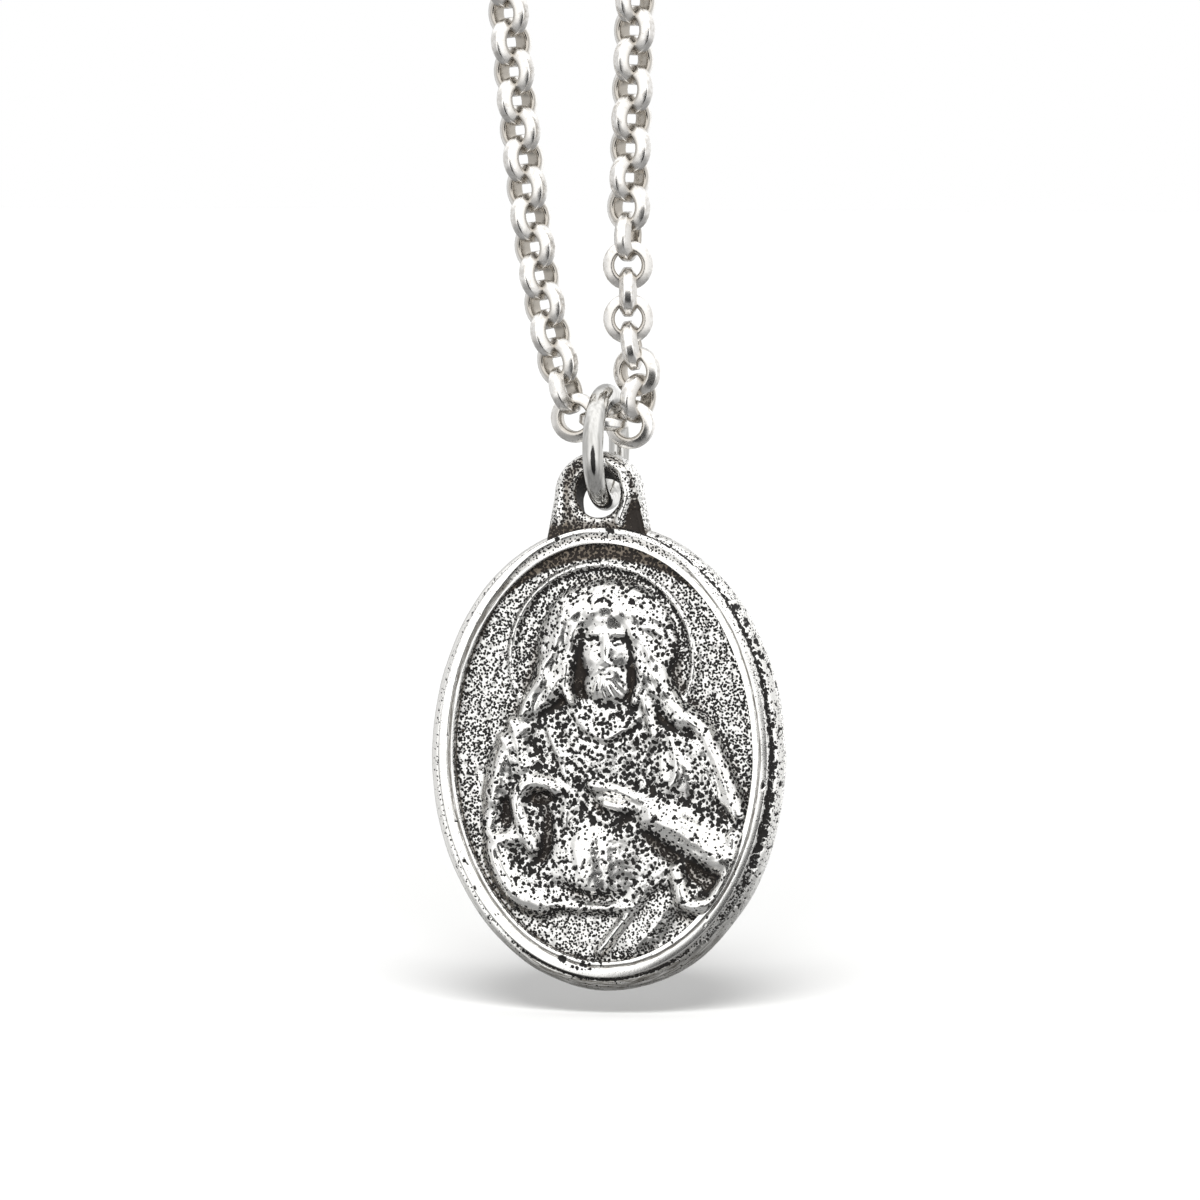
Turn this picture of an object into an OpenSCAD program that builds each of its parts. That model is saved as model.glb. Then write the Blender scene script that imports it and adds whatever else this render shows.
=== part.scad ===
// Oval cast medal with a haloed half-length figure, hung by a jump ring on a round-link chain.
// The origin is where the loop hangs, on the inside of its top.
// X is to the right, the front faces -Y and Z is up.

/* [Medal] */
// Half width of the oval blank
medal_half_w = 8.75; // [8.5:0.05:9]
// Half height of the oval blank
medal_half_h = 11.24; // [11:0.02:11.5]
// Thickness from the rim's front to the back
medal_t = 2.2; // [2.1:0.05:2.4]
// How far the medal's middle lies right of the ring's middle
medal_shift = 0.1; // [0:0.05:0.2]

/* [Rim] */
// Half width of the rim's outer edge
rim_half_w = 8.15; // [8.1:0.05:8.3]
// Half height of the rim's outer edge
rim_half_h = 10.8; // [10.7:0.05:10.85]
// Width of the rim's band
rim_band = 0.72; // [0.6:0.02:0.8]
// How far the rim stands over the sunk field
rim_rise = 0.45; // [0.35:0.05:0.5]
// How far the rim's middle lies above the blank's middle
rim_lift = 0.25; // [0.1:0.05:0.25]

/* [Bail] */
// Outer radius of the bail loop
bail_r = 2.15; // [2.1:0.05:2.2]
// Depth of the bail loop from front to back
bail_depth = 1.7; // [1.5:0.1:1.8]
// Radius of the hole through the bail
hole_r = 1.12; // [1.1:0.01:1.15]
// Slant of the hole, higher at the front
hole_slant = 20; // [15:1:22]
// Height of the bail's middle over the medal's middle
bail_up = 12.54; // [12.5:0.02:12.6]

/* [Jump ring] */
// Radius of the ring to the middle of its wire
ring_r = 2.55; // [2.5:0.01:2.6]
// Diameter of the ring's wire
ring_wire = 1; // [0.9:0.05:1]
// Height of the ring's middle over the medal's middle
ring_up = 14.88; // [14.86:0.01:14.92]

/* [Chain] */
// Outer diameter of a link
link_od = 2.44; // [2.4:0.01:2.44]
// Diameter of a link's wire
link_wire = 0.46; // [0.44:0.01:0.46]
// Distance from one link to the next
link_pitch = 1.41; // [1.4:0.01:1.41]
// Links in each strand that are made one by one
strand_links = 120; // [100:1:120]

/* [Clasp] */
// Radius of the clasp's ring to the middle of its wire
clasp_r = 2.1; // [2.05:0.05:2.15]
// Diameter of the clasp's wire
clasp_wire = 1.2; // [1.1:0.05:1.2]

/* [Hidden] */
$fn = 48;
bright = "#d9d8d4";
worn = "#b9b6b0";

// Where the ring's middle lies below and beside the point where the loop hangs
ring_x = 2.5;
ring_z = -239.2;
medal_x = ring_x + medal_shift;
medal_z = ring_z - ring_up;

// The sunk field and the rim, as depths in front of the medal's middle plane
rim_y = medal_t / 2;
field_y = rim_y - rim_rise;
oval_steps = 72;

// The plain back is sunk inside a rim of its own
back_sink = 0.25;
back_band = 1.5;

// Edge of the blank: depth along Y, how far the oval is drawn in there
EDGE = [
    [-field_y, 0.42],
    [-0.35, 0.1],
    [0.15, 0],
    [0.7, 0.16],
    [rim_y, 0.6],
];
slab_t = 0.02;
rim_bevel = 0.16;
rim_root = 0.2;

// The relief lies on a grid that fills the field and reaches under the rim
grid_across = 44;
grid_up = 56;
under_rim = 0.2;
relief_half_w = rim_half_w - rim_band + under_rim;
relief_half_h = rim_half_h - rim_band + under_rim;
relief_root = 0.3;
quiet_edge = 0.96;

// The figure is measured from the medal's middle: across to the right, then up
// Outline of the clothed body on the field: across, up
OUTLINE = [
    [-1.4, 3.0], [-3.3, 2.1], [-4.7, 1.0], [-5.6, -0.9], [-6.1, -3.0], [-5.9, -4.6],
    [-5.2, -6.1], [-4.1, -7.1], [-2.8, -7.4], [1.2, -7.4], [2.6, -6.4], [3.4, -6.2],
    [3.9, -7.1], [4.8, -7.45], [5.7, -7.0], [6.6, -5.4], [7.2, -3.5], [6.7, -1.8],
    [6.0, 0.3], [5.0, 1.8], [3.4, 2.9], [1.8, 3.2],
];
body_rise = 0.42;
body_edge = 0.6;

// Rounded forms of the figure: across, up, half width, half height, turn, rise over the field
DOMES = [
    [0.2, 5.5, 3.05, 2.55, 0, 0.5],
    [0.15, 6.9, 1.5, 0.9, 0, 0.86],
    [0.25, 5.3, 1.6, 2.2, 0, 0.88],
    [0.25, 3.6, 1.35, 1.15, 0, 0.82],
    [0.2, 0.6, 2.6, 2.6, 0, 0.56],
    [-0.4, -4.7, 2.4, 2.4, 0, 0.74],
    [3.8, -0.2, 1.9, 2.3, -35, 0.66],
    [-3.9, -0.5, 0.7, 0.8, 20, 0.66],
];

// Locks, folds, hems and fingers: half width, rise over the field, then the way each takes: across, up
ROLLS = [
    [0.42, 1.04, [[0.25, 5.7], [0.25, 4.6]]],
    [1.15, 0.7, [[0.1, 7.45], [-1.5, 6.9], [-2.3, 5.4], [-2.1, 4.2], [-2.7, 3.1], [-3.6, 2.2]]],
    [1.15, 0.7, [[0.4, 7.45], [1.9, 6.9], [2.7, 5.4], [2.4, 4.2], [3.0, 3.0], [3.9, 1.8]]],
    [0.6, 0.82, [[-0.6, 7.0], [-1.35, 6.1], [-1.55, 4.9], [-1.8, 3.7], [-1.5, 2.7]]],
    [0.55, 0.74, [[-2.7, 4.7], [-3.05, 3.6], [-3.55, 2.75], [-3.95, 2.0]]],
    [0.6, 0.82, [[0.9, 7.0], [1.65, 6.0], [1.9, 4.85], [1.95, 3.7], [1.65, 2.7]]],
    [0.55, 0.74, [[2.6, 4.65], [3.0, 3.5], [3.5, 2.65], [4.4, 1.7]]],
    [0.6, 0.68, [[3.2, 2.7], [4.8, 1.5], [5.9, -0.6], [6.6, -2.6]]],
    [0.8, 0.66, [[-3.8, 1.5], [-4.9, 0.0], [-5.3, -2.0]]],
    [0.36, 0.72, [[-4.0, -0.2], [-4.5, 1.7]]],
    [0.34, 0.68, [[-4.35, -0.2], [-5.0, 0.9]]],
    [0.66, 0.92, [[-3.4, -4.3], [-4.2, -2.4], [-3.9, -1.5], [-3.2, -1.15], [-2.3, -1.5]]],
    [0.8, 0.76, [[-3.9, -3.8], [-5.2, -4.1], [-4.9, -5.5], [-4.1, -6.6], [-3.1, -7.0]]],
    [1.2, 1.05, [[2.6, -2.7], [4.3, -3.6], [5.9, -4.7]]],
    [0.65, 0.88, [[6.5, -3.7], [6.2, -5.4], [5.5, -6.7], [4.6, -7.0], [3.95, -6.6], [3.75, -5.2]]],
    [0.55, 0.86, [[2.0, -2.0], [0.9, -1.5], [-0.5, -1.3]]],
    [0.5, 0.8, [[1.7, -2.4], [0.9, -2.3], [0.2, -2.2]]],
    [0.35, 0.5, [[-2.9, -7.1], [1.3, -7.15]]],
    [0.34, 0.36, [[2.2, -6.3], [-0.2, -9.3]]],
    [0.9, 0.22, [[3.1, -6.8], [1.5, -8.9]]],
    [0.5, 0.62, [[-2.5, 1.4], [-1.7, -1.2], [-1.8, -3.2]]],
    [0.5, 0.62, [[2.7, 1.4], [1.9, -0.4], [2.1, -1.5]]],
];

// The halo's thin raised circle
halo_x = -0.1;
halo_z = 4.75;
halo_r = 4.52;
halo_half = 0.32;
halo_rise = 0.22;

// The bail and its hole stand a little left of the ring's middle, as they were cast
bail_left = 0.3;
hole_left = 0.2;
bail_x = ring_x - bail_left;
hole_x = ring_x - hole_left;
hole_up = 12.44;
hole_cut = 6;
bail_bevel = 0.3;
bail_foot = [2.6, 2.5];

// Radius of a link to the middle of its wire
link_r = (link_od - link_wire) / 2;

// The middle link lies flat inside the ring's top, a little to the left and turned down to the right
middle_up = 1.26;
middle_left = 0.1;
middle_tilt = 6;

// Distance from the middle link to the lowest link of the right strand, which lies slack in it
slack_pitch = 1.3;

// Lean of a strand from upright: far lean, then a slow and a fast part that fade with the links counted
// Columns: side, far lean, slow part, links it lasts, fast part, links it lasts
LEAN = [
    [-1, 3.6, 2, 30, 14.4, 4],
    [1, 3.6, -2.4, 30, 0, 4],
];

// The lowest steps of the right strand, whose links lie slack: lean from upright, distance
SLACK = [[18, 1.3], [-3, 1.28], [-12, 1.27], [-7, 1.3], [-1, 1.28], [0, 1.29], [0, 1.37]];

// Turn of the lowest links about the strand beyond a quarter turn each: left strand, right strand
TWIST = [
    [0, -1],
    [-15, -23],
    [-30, -13],
    [-30, 8],
    [-30, 15],
    [-30, 14],
    [-30, 15],
    [-30, -5],
    [-30, -25],
];
far_twist = -30;

// The top of the loop, from the left strand over to the clasp: across, up
ROUTE = [
    [-12.6, -69.4], [-13.0, -63.0], [-13.4, -56.6], [-13.8, -50.8], [-14.1, -45.0],
    [-14.5, -39.2], [-14.9, -33.4], [-15.2, -27.6], [-15.6, -21.8], [-16.0, -16.0],
    [-15.5, -10.7], [-13.3, -5.9], [-9.6, -2.0], [-5.1, 0.4], [0, 1.2],
    [5.1, 0.4], [9.6, -2.0], [13.3, -5.9], [15.5, -10.7],
    [16.0, -16.0], [15.6, -21.8], [15.2, -27.6], [14.9, -33.4], [14.5, -39.2],
    [14.0, -45.0], [13.5, -50.8], [12.9, -57.0], [12.5, -63.9],
];
tube_sides = 8;
tube_r = 1.2;

// The clasp's eye takes the right strand's last link, which lies loose_gap clear in it
eye_r = 0.95;
eye_wire = 0.56;
loose_gap = 0.1;
eye_up = link_r + eye_r - (link_wire + eye_wire) / 2 - loose_gap;
eye_to_clasp = 0.6;
clasp_up = eye_up + clasp_r + clasp_wire / 2 + eye_to_clasp;
knob_turn = 35;
knob_r = 0.4;
knob_h = 0.9;

// Profile of a half round, by the share of its half width
function round_top(q) = q < 1 ? sqrt(1 - q * q) : 0;

// Height of one rounded form at a point, as a half ellipsoid
function dome(p, d) =
    let (dx = p[0] - d[0], dz = p[1] - d[1])
    let (u = (dx * cos(d[4]) + dz * sin(d[4])) / d[2])
    let (v = (dz * cos(d[4]) - dx * sin(d[4])) / d[3])
    d[5] * round_top(norm([u, v]));

// Distance of a point from the straight line between two others
function from_line(p, a, b) =
    let (way = b - a, t = min(max((p - a) * way / (way * way), 0), 1))
    norm(p - a - t * way);

// Distance of a point from a way of straight stretches
function from_way(p, way) =
    min([for (k = [0 : len(way) - 2]) from_line(p, way[k], way[k + 1])]);

// Height of one long form at a point, crowned along its way
function roll(p, r) =
    let (q = from_way(p, r[2]) / r[0])
    q < 1 ? r[1] * (1 - q * q) : 0;

function halo(p) =
    halo_rise * round_top(abs(norm(p - [halo_x, halo_z]) - halo_r) / halo_half);

// Whether an outline goes round a point: a line to the right then crosses it an odd number of times
function inside(p, outline) =
    let (last = len(outline) - 1)
    len([
        for (k = [0 : last])
            let (a = outline[k], b = outline[k == last ? 0 : k + 1])
            if ((a[1] > p[1]) != (b[1] > p[1])
                && p[0] < a[0] + (p[1] - a[1]) * (b[0] - a[0]) / (b[1] - a[1]))
            k
    ]) % 2 == 1;

// Height of the clothed body, flat with a rounded edge
function clothed(p) =
    inside(p, OUTLINE)
        ? body_rise * round_top(max(1 - from_way(p, concat(OUTLINE, [OUTLINE[0]])) / body_edge, 0))
        : 0;

// Height of the figure over the field at a point
function relief(p) =
    max(
        halo(p),
        clothed(p),
        max([for (d = DOMES) dome(p, d)]),
        max([for (r = ROLLS) roll(p, r)])
    );

// Points of an oval outline
function oval(half_w, half_h) =
    [for (i = [0 : oval_steps - 1]) [half_w * cos(360 * i / oval_steps), half_h * sin(360 * i / oval_steps)]];

// Where a square grid's point falls when the square is drawn into the relief's oval
function in_oval(u, v) =
    [relief_half_w * u * sqrt(1 - v * v / 2), relief_half_h * v * sqrt(1 - u * u / 2)];

// Lean of a strand above its k-th link and the distance to the next
function step_above(lean, k) =
    [lean[1] + lean[2] * exp(-k / lean[3]) + lean[4] * exp(-k / lean[5]), link_pitch];

// Centres of a strand's links, walked up from its lowest link, with steps of their own for the first ones
function walk(lean, start, first_steps) =
    [for (
        k = 0, p = start;
        k < strand_links;
        step = k < len(first_steps) ? first_steps[k] : step_above(lean, k),
        p = p + step[1] * [lean[0] * sin(step[0]), 0, cos(step[0])],
        k = k + 1
    ) p];

// Direction of a strand at one of its links
function along(points, k) =
    let (a = points[max(k - 1, 0)], b = points[min(k + 1, len(points) - 1)])
    (b - a) / norm(b - a);

// A flat oval slab across Y at a given depth
module slab(half_w, half_h, y) {
    translate([0, y, 0])
        rotate([90, 0, 0])
            linear_extrude(slab_t, center = true)
                polygon(oval(half_w, half_h));
}

module blank() {
    hull()
        for (e = EDGE)
            slab(medal_half_w - e[1], medal_half_h - e[1], e[0]);
}

// A straight oval prism from one depth to another
module oval_prism(half_w, half_h, y_front, y_back) {
    translate([0, (y_front + y_back) / 2, 0])
        rotate([90, 0, 0])
            linear_extrude(y_back - y_front, center = true)
                polygon(oval(half_w, half_h));
}

module rim() {
    difference() {
        union() {
            oval_prism(rim_half_w, rim_half_h, rim_bevel - rim_y, rim_root - field_y);
            hull() {
                slab(rim_half_w, rim_half_h, rim_bevel - rim_y);
                slab(rim_half_w - rim_bevel, rim_half_h - rim_bevel, slab_t / 2 - rim_y);
            }
        }
        oval_prism(rim_half_w - rim_band, rim_half_h - rim_band, -rim_y - 1, 1 - field_y);
    }
}

// The raised figure, as one closed form whose root is sunk in the blank
module figure() {
    across = grid_across + 1;
    rows = grid_up + 1;
    front = [
        for (j = [0 : grid_up], i = [0 : grid_across])
            let (u = 2 * i / grid_across - 1, v = 2 * j / grid_up - 1, p = in_oval(u, v))
            let (quiet = max(abs(u), abs(v)) > quiet_edge)
            [p[0], -field_y - (quiet ? 0 : relief(p + [0, rim_lift])), p[1]]
    ];
    edge = concat(
        [for (i = [0 : grid_across - 1]) i],
        [for (j = [0 : grid_up - 1]) grid_across + j * across],
        [for (i = [grid_across : -1 : 1]) i + grid_up * across],
        [for (j = [grid_up : -1 : 1]) j * across]
    );
    count = across * rows;
    root = [for (e = edge) [front[e][0], relief_root - field_y, front[e][2]]];
    turns = len(edge);
    cells = [
        for (j = [0 : grid_up - 1], i = [0 : grid_across - 1])
            let (a = j * across + i)
            each [[a, a + across, a + across + 1], [a, a + across + 1, a + 1]]
    ];
    walls = [
        for (k = [0 : turns - 1])
            let (n = (k + 1) % turns)
            each [[edge[k], edge[n], count + n], [edge[k], count + n, count + k]]
    ];
    floor_face = [[for (k = [0 : turns - 1]) count + k]];
    polyhedron(concat(front, root), concat(cells, walls, floor_face));
}

module bail() {
    straight = bail_depth - 2 * bail_bevel;
    translate([bail_x, 0, medal_z + bail_up])
        rotate([90, 0, 0]) {
            cylinder(r = bail_r, h = straight, center = true);
            translate([0, 0, straight / 2])
                cylinder(r1 = bail_r, r2 = bail_r - bail_bevel, h = bail_bevel);
            translate([0, 0, -straight / 2 - bail_bevel])
                cylinder(r1 = bail_r - bail_bevel, r2 = bail_r, h = bail_bevel);
            linear_extrude(bail_depth - bail_bevel, center = true)
                polygon([
                    [-bail_r, 0],
                    [-bail_foot[0], -bail_foot[1]],
                    [bail_foot[0], -bail_foot[1]],
                    [bail_r, 0],
                ]);
        }
}

module medal() {
    color(worn) {
        difference() {
            union() {
                translate([medal_x, 0, medal_z]) blank();
                translate([medal_x, 0, medal_z + rim_lift]) rim();
                bail();
            }
            translate([hole_x, 0, medal_z + hole_up])
                rotate([90 - hole_slant, 0, 0])
                    cylinder(r = hole_r, h = hole_cut, center = true);
            translate([medal_x, 0, medal_z])
                oval_prism(medal_half_w - back_band, medal_half_h - back_band, rim_y - back_sink, rim_y + 1);
        }
        translate([medal_x, 0, medal_z + rim_lift]) figure();
    }
}

// A closed ring of round wire whose axis is along Z
module wire_ring(radius, wire) {
    rotate_extrude() translate([radius, 0]) circle(d = wire);
}

module jump_ring() {
    color(bright)
        translate([ring_x, 0, ring_z])
            rotate([0, 90, 0])
                wire_ring(ring_r, ring_wire);
}

// One link at the k-th place of a strand; each is a quarter turn and its own twist on from the one below
module strand_link(points, k, side) {
    way = along(points, k);
    own = k < len(TWIST) ? TWIST[k][side] : far_twist;
    translate(points[k])
        rotate([0, atan2(way[0], way[2]), 0])
            rotate([0, 0, own + 90 * (k % 2)])
                rotate([90, 0, 0])
                    wire_ring(link_r, link_wire);
}

middle = [ring_x - middle_left, 0, ring_z + middle_up];
middle_way = [cos(middle_tilt), 0, -sin(middle_tilt)];
left_points = walk(LEAN[0], middle - link_pitch * middle_way, []);
right_points = walk(LEAN[1], middle + slack_pitch * middle_way, SLACK);

module chain_left() {
    color(bright) {
        translate(middle) rotate([0, middle_tilt, 0]) wire_ring(link_r, link_wire);
        for (k = [0 : strand_links - 1])
            strand_link(left_points, k, 0);
    }
}

module chain_right() {
    color(bright)
        for (k = [0 : strand_links - 1])
            strand_link(right_points, k, 1);
}

// The loop over the top, as one tube along the route
module chain_back() {
    last = len(ROUTE) - 1;
    rings = [
        for (k = [0 : last])
            let (a = ROUTE[max(k - 1, 0)], b = ROUTE[min(k + 1, last)])
            let (way = (b - a) / norm(b - a))
            for (s = [0 : tube_sides - 1])
                let (t = 360 * (s + 0.5) / tube_sides, out = tube_r * cos(t))
                [ROUTE[k][0] - out * way[1], tube_r * sin(t), ROUTE[k][1] + out * way[0]]
    ];
    skin = [
        for (k = [0 : last - 1], s = [0 : tube_sides - 1])
            let (a = k * tube_sides + s, b = k * tube_sides + (s + 1) % tube_sides)
            each [[a, b, b + tube_sides], [a, b + tube_sides, a + tube_sides]]
    ];
    ends = [
        [for (s = [tube_sides - 1 : -1 : 0]) s],
        [for (s = [0 : tube_sides - 1]) last * tube_sides + s],
    ];
    color(bright) polyhedron(rings, concat(skin, ends));
}

module clasp() {
    top = strand_links - 1;
    way = along(right_points, top);
    color(bright)
        translate(right_points[top])
            rotate([0, atan2(way[0], way[2]), 0])
                rotate([0, 0, far_twist + 90 * (strand_links % 2)])
                    rotate([90, 0, 0]) {
                        translate([0, eye_up, 0]) wire_ring(eye_r, eye_wire);
                        translate([0, clasp_up, 0]) {
                            wire_ring(clasp_r, clasp_wire);
                            rotate([0, 0, knob_turn])
                                translate([clasp_r, 0, 0])
                                    rotate([0, 90, 0])
                                        cylinder(r = knob_r, h = knob_h);
                        }
                    }
}

medal();
jump_ring();
chain_left();
chain_right();
chain_back();
clasp();
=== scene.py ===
"""An oval cast silver medal with a haloed figure in relief, on a jump ring and a round-link chain.

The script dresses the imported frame. Sizes are in millimetres, as in the part, and become metres in
the meshes.
"""

import math
from functools import partial
from statistics import NormalDist

import bpy
import numpy as np
from mathutils import Euler, Matrix, Vector, noise


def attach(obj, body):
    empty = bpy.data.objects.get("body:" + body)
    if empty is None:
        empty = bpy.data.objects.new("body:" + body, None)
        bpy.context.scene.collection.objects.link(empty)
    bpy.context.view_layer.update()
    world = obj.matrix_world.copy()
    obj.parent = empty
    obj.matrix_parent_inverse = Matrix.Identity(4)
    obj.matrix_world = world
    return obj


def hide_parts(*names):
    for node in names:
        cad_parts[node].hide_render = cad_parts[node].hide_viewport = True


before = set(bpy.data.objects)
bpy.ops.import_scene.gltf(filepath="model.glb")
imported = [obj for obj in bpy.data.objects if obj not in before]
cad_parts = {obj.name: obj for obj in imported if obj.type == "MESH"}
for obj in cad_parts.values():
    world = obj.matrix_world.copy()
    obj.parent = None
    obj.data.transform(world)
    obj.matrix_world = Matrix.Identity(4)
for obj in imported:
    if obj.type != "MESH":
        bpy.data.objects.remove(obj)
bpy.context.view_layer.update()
MM = 0.001

# Places of the part: the ring's middle and the medal's middle, from where the loop hangs
RING_X = 2.5
RING_Z = -239.2
MEDAL_X = RING_X + 0.1
MEDAL_Z = RING_Z - 14.88

# The blank and its raised rim: half widths and half heights of their ovals, and the field's depth
BLANK_HALF = (8.75, 11.24)
RIM_HALF = (8.15, 10.8)
RIM_BAND = 0.76
RIM_LIFT = 0.25
FIELD_Y = 0.65

# The ring, the links' band and the clasp: radii of the wires' middles, and the wires themselves
RING_R = 2.55
RING_WIRE = 1.0
LINK_WIRE = 0.55
LINK_INSIDE = 1.06
LINK_OUTSIDE = 0.4
LINK_CORNER = 0.14
LINK_R = 0.93
LINK_PITCH = 1.41
STRAND_LINKS = 120
FAR_TWIST = -30.0
CLASP_R = 2.1
CLASP_WIRE = 1.2
EYE_R = 0.95
EYE_WIRE = 0.56
EYE_REACH = 0.6
EYE_SLACK = 0.1
LAST_LINK_SLACK = 0.12

# The part's own links, which set the clasp's place
PART_LINK_R = 0.99
PART_LINK_WIRE = 0.46


# Geometry

def add_object(name, data):
    """A new object of the scene that holds the given mesh, lamp or camera."""
    obj = bpy.data.objects.new(name, data)
    bpy.context.scene.collection.objects.link(obj)
    return obj


def mesh_object(name, points, faces, body, material, attributes=None):
    """A smooth piece that rides on a body, from points in millimetres with float attributes."""
    mesh = bpy.data.meshes.new(name)
    mesh.from_pydata((np.asarray(points) * MM).tolist(), [], faces)
    mesh.validate()
    for key, values in (attributes or {}).items():
        layer = mesh.attributes.new(key, "FLOAT", "POINT")
        layer.data.foreach_set("value", np.asarray(values, np.float32).ravel())
    mesh.polygons.foreach_set("use_smooth", [True] * len(mesh.polygons))
    mesh.materials.append(material)
    obj = add_object(name, mesh)
    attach(obj, body)
    return obj


def grid_faces(rows, across, close_rows=False, close_across=False, start=0):
    """Quads of a grid of points, row after row, that may close on itself either way."""
    faces = []
    for j in range(rows if close_rows else rows - 1):
        for i in range(across if close_across else across - 1):
            up = (j + 1) % rows
            on = (i + 1) % across
            faces.append((start + j * across + i, start + j * across + on,
                          start + up * across + on, start + up * across + i))
    return faces


def smooth_way(way, steps):
    """A smooth curve through a list of points, with a number of steps a stretch."""
    points = np.asarray(way, float)
    ends = np.vstack([2 * points[0] - points[1], points, 2 * points[-1] - points[-2]])
    t = np.linspace(0, 1, steps, endpoint=False)[:, None]
    out = []
    for k in range(len(points) - 1):
        a, b, c, d = ends[k:k + 4]
        out.append(0.5 * (2 * b + (c - a) * t + (2 * a - 5 * b + 4 * c - d) * t ** 2
                          + (3 * b - a - 3 * c + d) * t ** 3))
    return np.vstack(out + [points[-1:]])


# Shift of the noise for a seed of one
SEED_STEP = (17.3, 5.1, 29.7)


def noise_at(points, size, octaves, seed):
    """Smooth noise from about -1 to 1 at points in millimetres, with forms of the given size."""
    shift = Vector([seed * step for step in SEED_STEP])
    flat = points.reshape(-1, 3)
    values = [noise.fractal(Vector(p) / size + shift, 1.0, 2.0, octaves) for p in flat]
    return np.array(values).reshape(points.shape[:-1])


# Noise levels that a given share of a surface lies over
SHARES = np.linspace(0.002, 0.998, 250)
LEVELS = np.array([NormalDist().inv_cdf(1 - share) for share in SHARES])


def pitted(points, cover, size, octaves, seed):
    """How far inside a pit a point lies: above zero over the share of the surface in cover."""
    value = noise_at(points, size, octaves, seed)
    return (value - value.mean()) / value.std() - np.interp(cover, SHARES, LEVELS)


def soft(value, low, high):
    """A smooth step from 0 at one value to 1 at the other."""
    share = np.clip((value - low) / (high - low), 0, 1)
    return share * share * (3 - 2 * share)


def blurred(field, width):
    """A field smoothed along both its ways by a bell of the given width in cells."""
    reach = int(width * 3)
    bell = np.exp(-0.5 * (np.arange(-reach, reach + 1) / width) ** 2)
    bell /= bell.sum()
    for axis in (0, 1):
        edge = [(reach, reach) if a == axis else (0, 0) for a in (0, 1)]
        wide = np.pad(field, edge, mode="edge")
        field = np.apply_along_axis(lambda line: np.convolve(line, bell, mode="valid"), axis, wide)
    return field


# The figure's forms, from the medal's middle: across to the right, then up

# Outline of the clothed body on the field
OUTLINE = [
    (-1.4, 3.0), (-3.3, 2.1), (-4.7, 1.0), (-5.6, -0.9), (-6.1, -3.0), (-5.9, -4.6),
    (-5.2, -6.1), (-4.1, -7.1), (-2.8, -7.4), (1.2, -7.4), (2.6, -6.4), (3.4, -6.2),
    (3.9, -7.1), (4.8, -7.45), (5.7, -7.0), (6.6, -5.4), (7.2, -3.5), (6.7, -1.8),
    (6.0, 0.3), (5.0, 1.8), (3.4, 2.9), (1.8, 3.2),
]
BODY_RISE = 0.42
BODY_EDGE = 0.6

# Rounded forms: across, up, half width, half height, turn, rise over the field
DOMES = [
    (0.2, 5.5, 3.05, 2.55, 0, 0.5),
    (0.15, 6.9, 1.5, 0.9, 0, 0.86),
    (0.1, 7.25, 0.9, 0.55, 0, 0.96),
    (0.25, 5.3, 1.6, 2.2, 0, 0.88),
    (0.25, 3.6, 1.35, 1.15, 0, 0.82),
    (0.2, 0.6, 2.6, 2.6, 0, 0.56),
    (-0.4, -4.7, 2.4, 2.4, 0, 0.74),
    (3.8, -0.2, 1.9, 2.3, -35, 0.66),
    (-3.9, -0.5, 0.7, 0.8, 20, 0.66),
]

# Folds, hems and fingers: half width, rise over the field, then the way each takes
ROLLS = [
    (0.6, 0.68, ((3.2, 2.7), (4.8, 1.5), (5.9, -0.6), (6.6, -2.6))),
    (0.8, 0.66, ((-3.8, 1.5), (-4.9, 0.0), (-5.3, -2.0))),
    (0.32, 0.72, ((-4.0, -0.2), (-4.15, 0.8), (-4.5, 1.7))),
    (0.3, 0.68, ((-4.35, -0.2), (-4.6, 0.4), (-5.0, 0.9))),
    (0.66, 0.92, ((-3.4, -4.3), (-4.2, -2.4), (-3.9, -1.5), (-3.2, -1.15), (-2.3, -1.5))),
    (0.8, 0.76, ((-3.9, -3.8), (-5.2, -4.1), (-4.9, -5.5), (-4.1, -6.6), (-3.1, -7.0))),
    (1.2, 1.05, ((2.6, -2.7), (4.3, -3.6), (5.9, -4.7))),
    (0.65, 0.88, ((6.5, -3.7), (6.2, -5.4), (5.5, -6.7), (4.6, -7.0), (3.95, -6.6), (3.75, -5.2))),
    (0.55, 0.86, ((2.0, -2.0), (0.9, -1.5), (-0.5, -1.3))),
    (0.5, 0.8, ((1.7, -2.4), (0.9, -2.3), (0.2, -2.2))),
    (0.35, 0.5, ((-2.9, -7.1), (-0.8, -7.2), (1.3, -7.15))),
    (0.3, 0.38, ((2.2, -6.3), (1.0, -7.8), (-0.2, -9.3))),
    (0.9, 0.22, ((3.1, -6.8), (1.5, -8.9))),
    (0.5, 0.62, ((-2.5, 1.4), (-1.7, -1.2), (-1.8, -3.2))),
    (0.5, 0.62, ((2.7, 1.4), (1.9, -0.4), (2.1, -1.5))),
]

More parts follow.
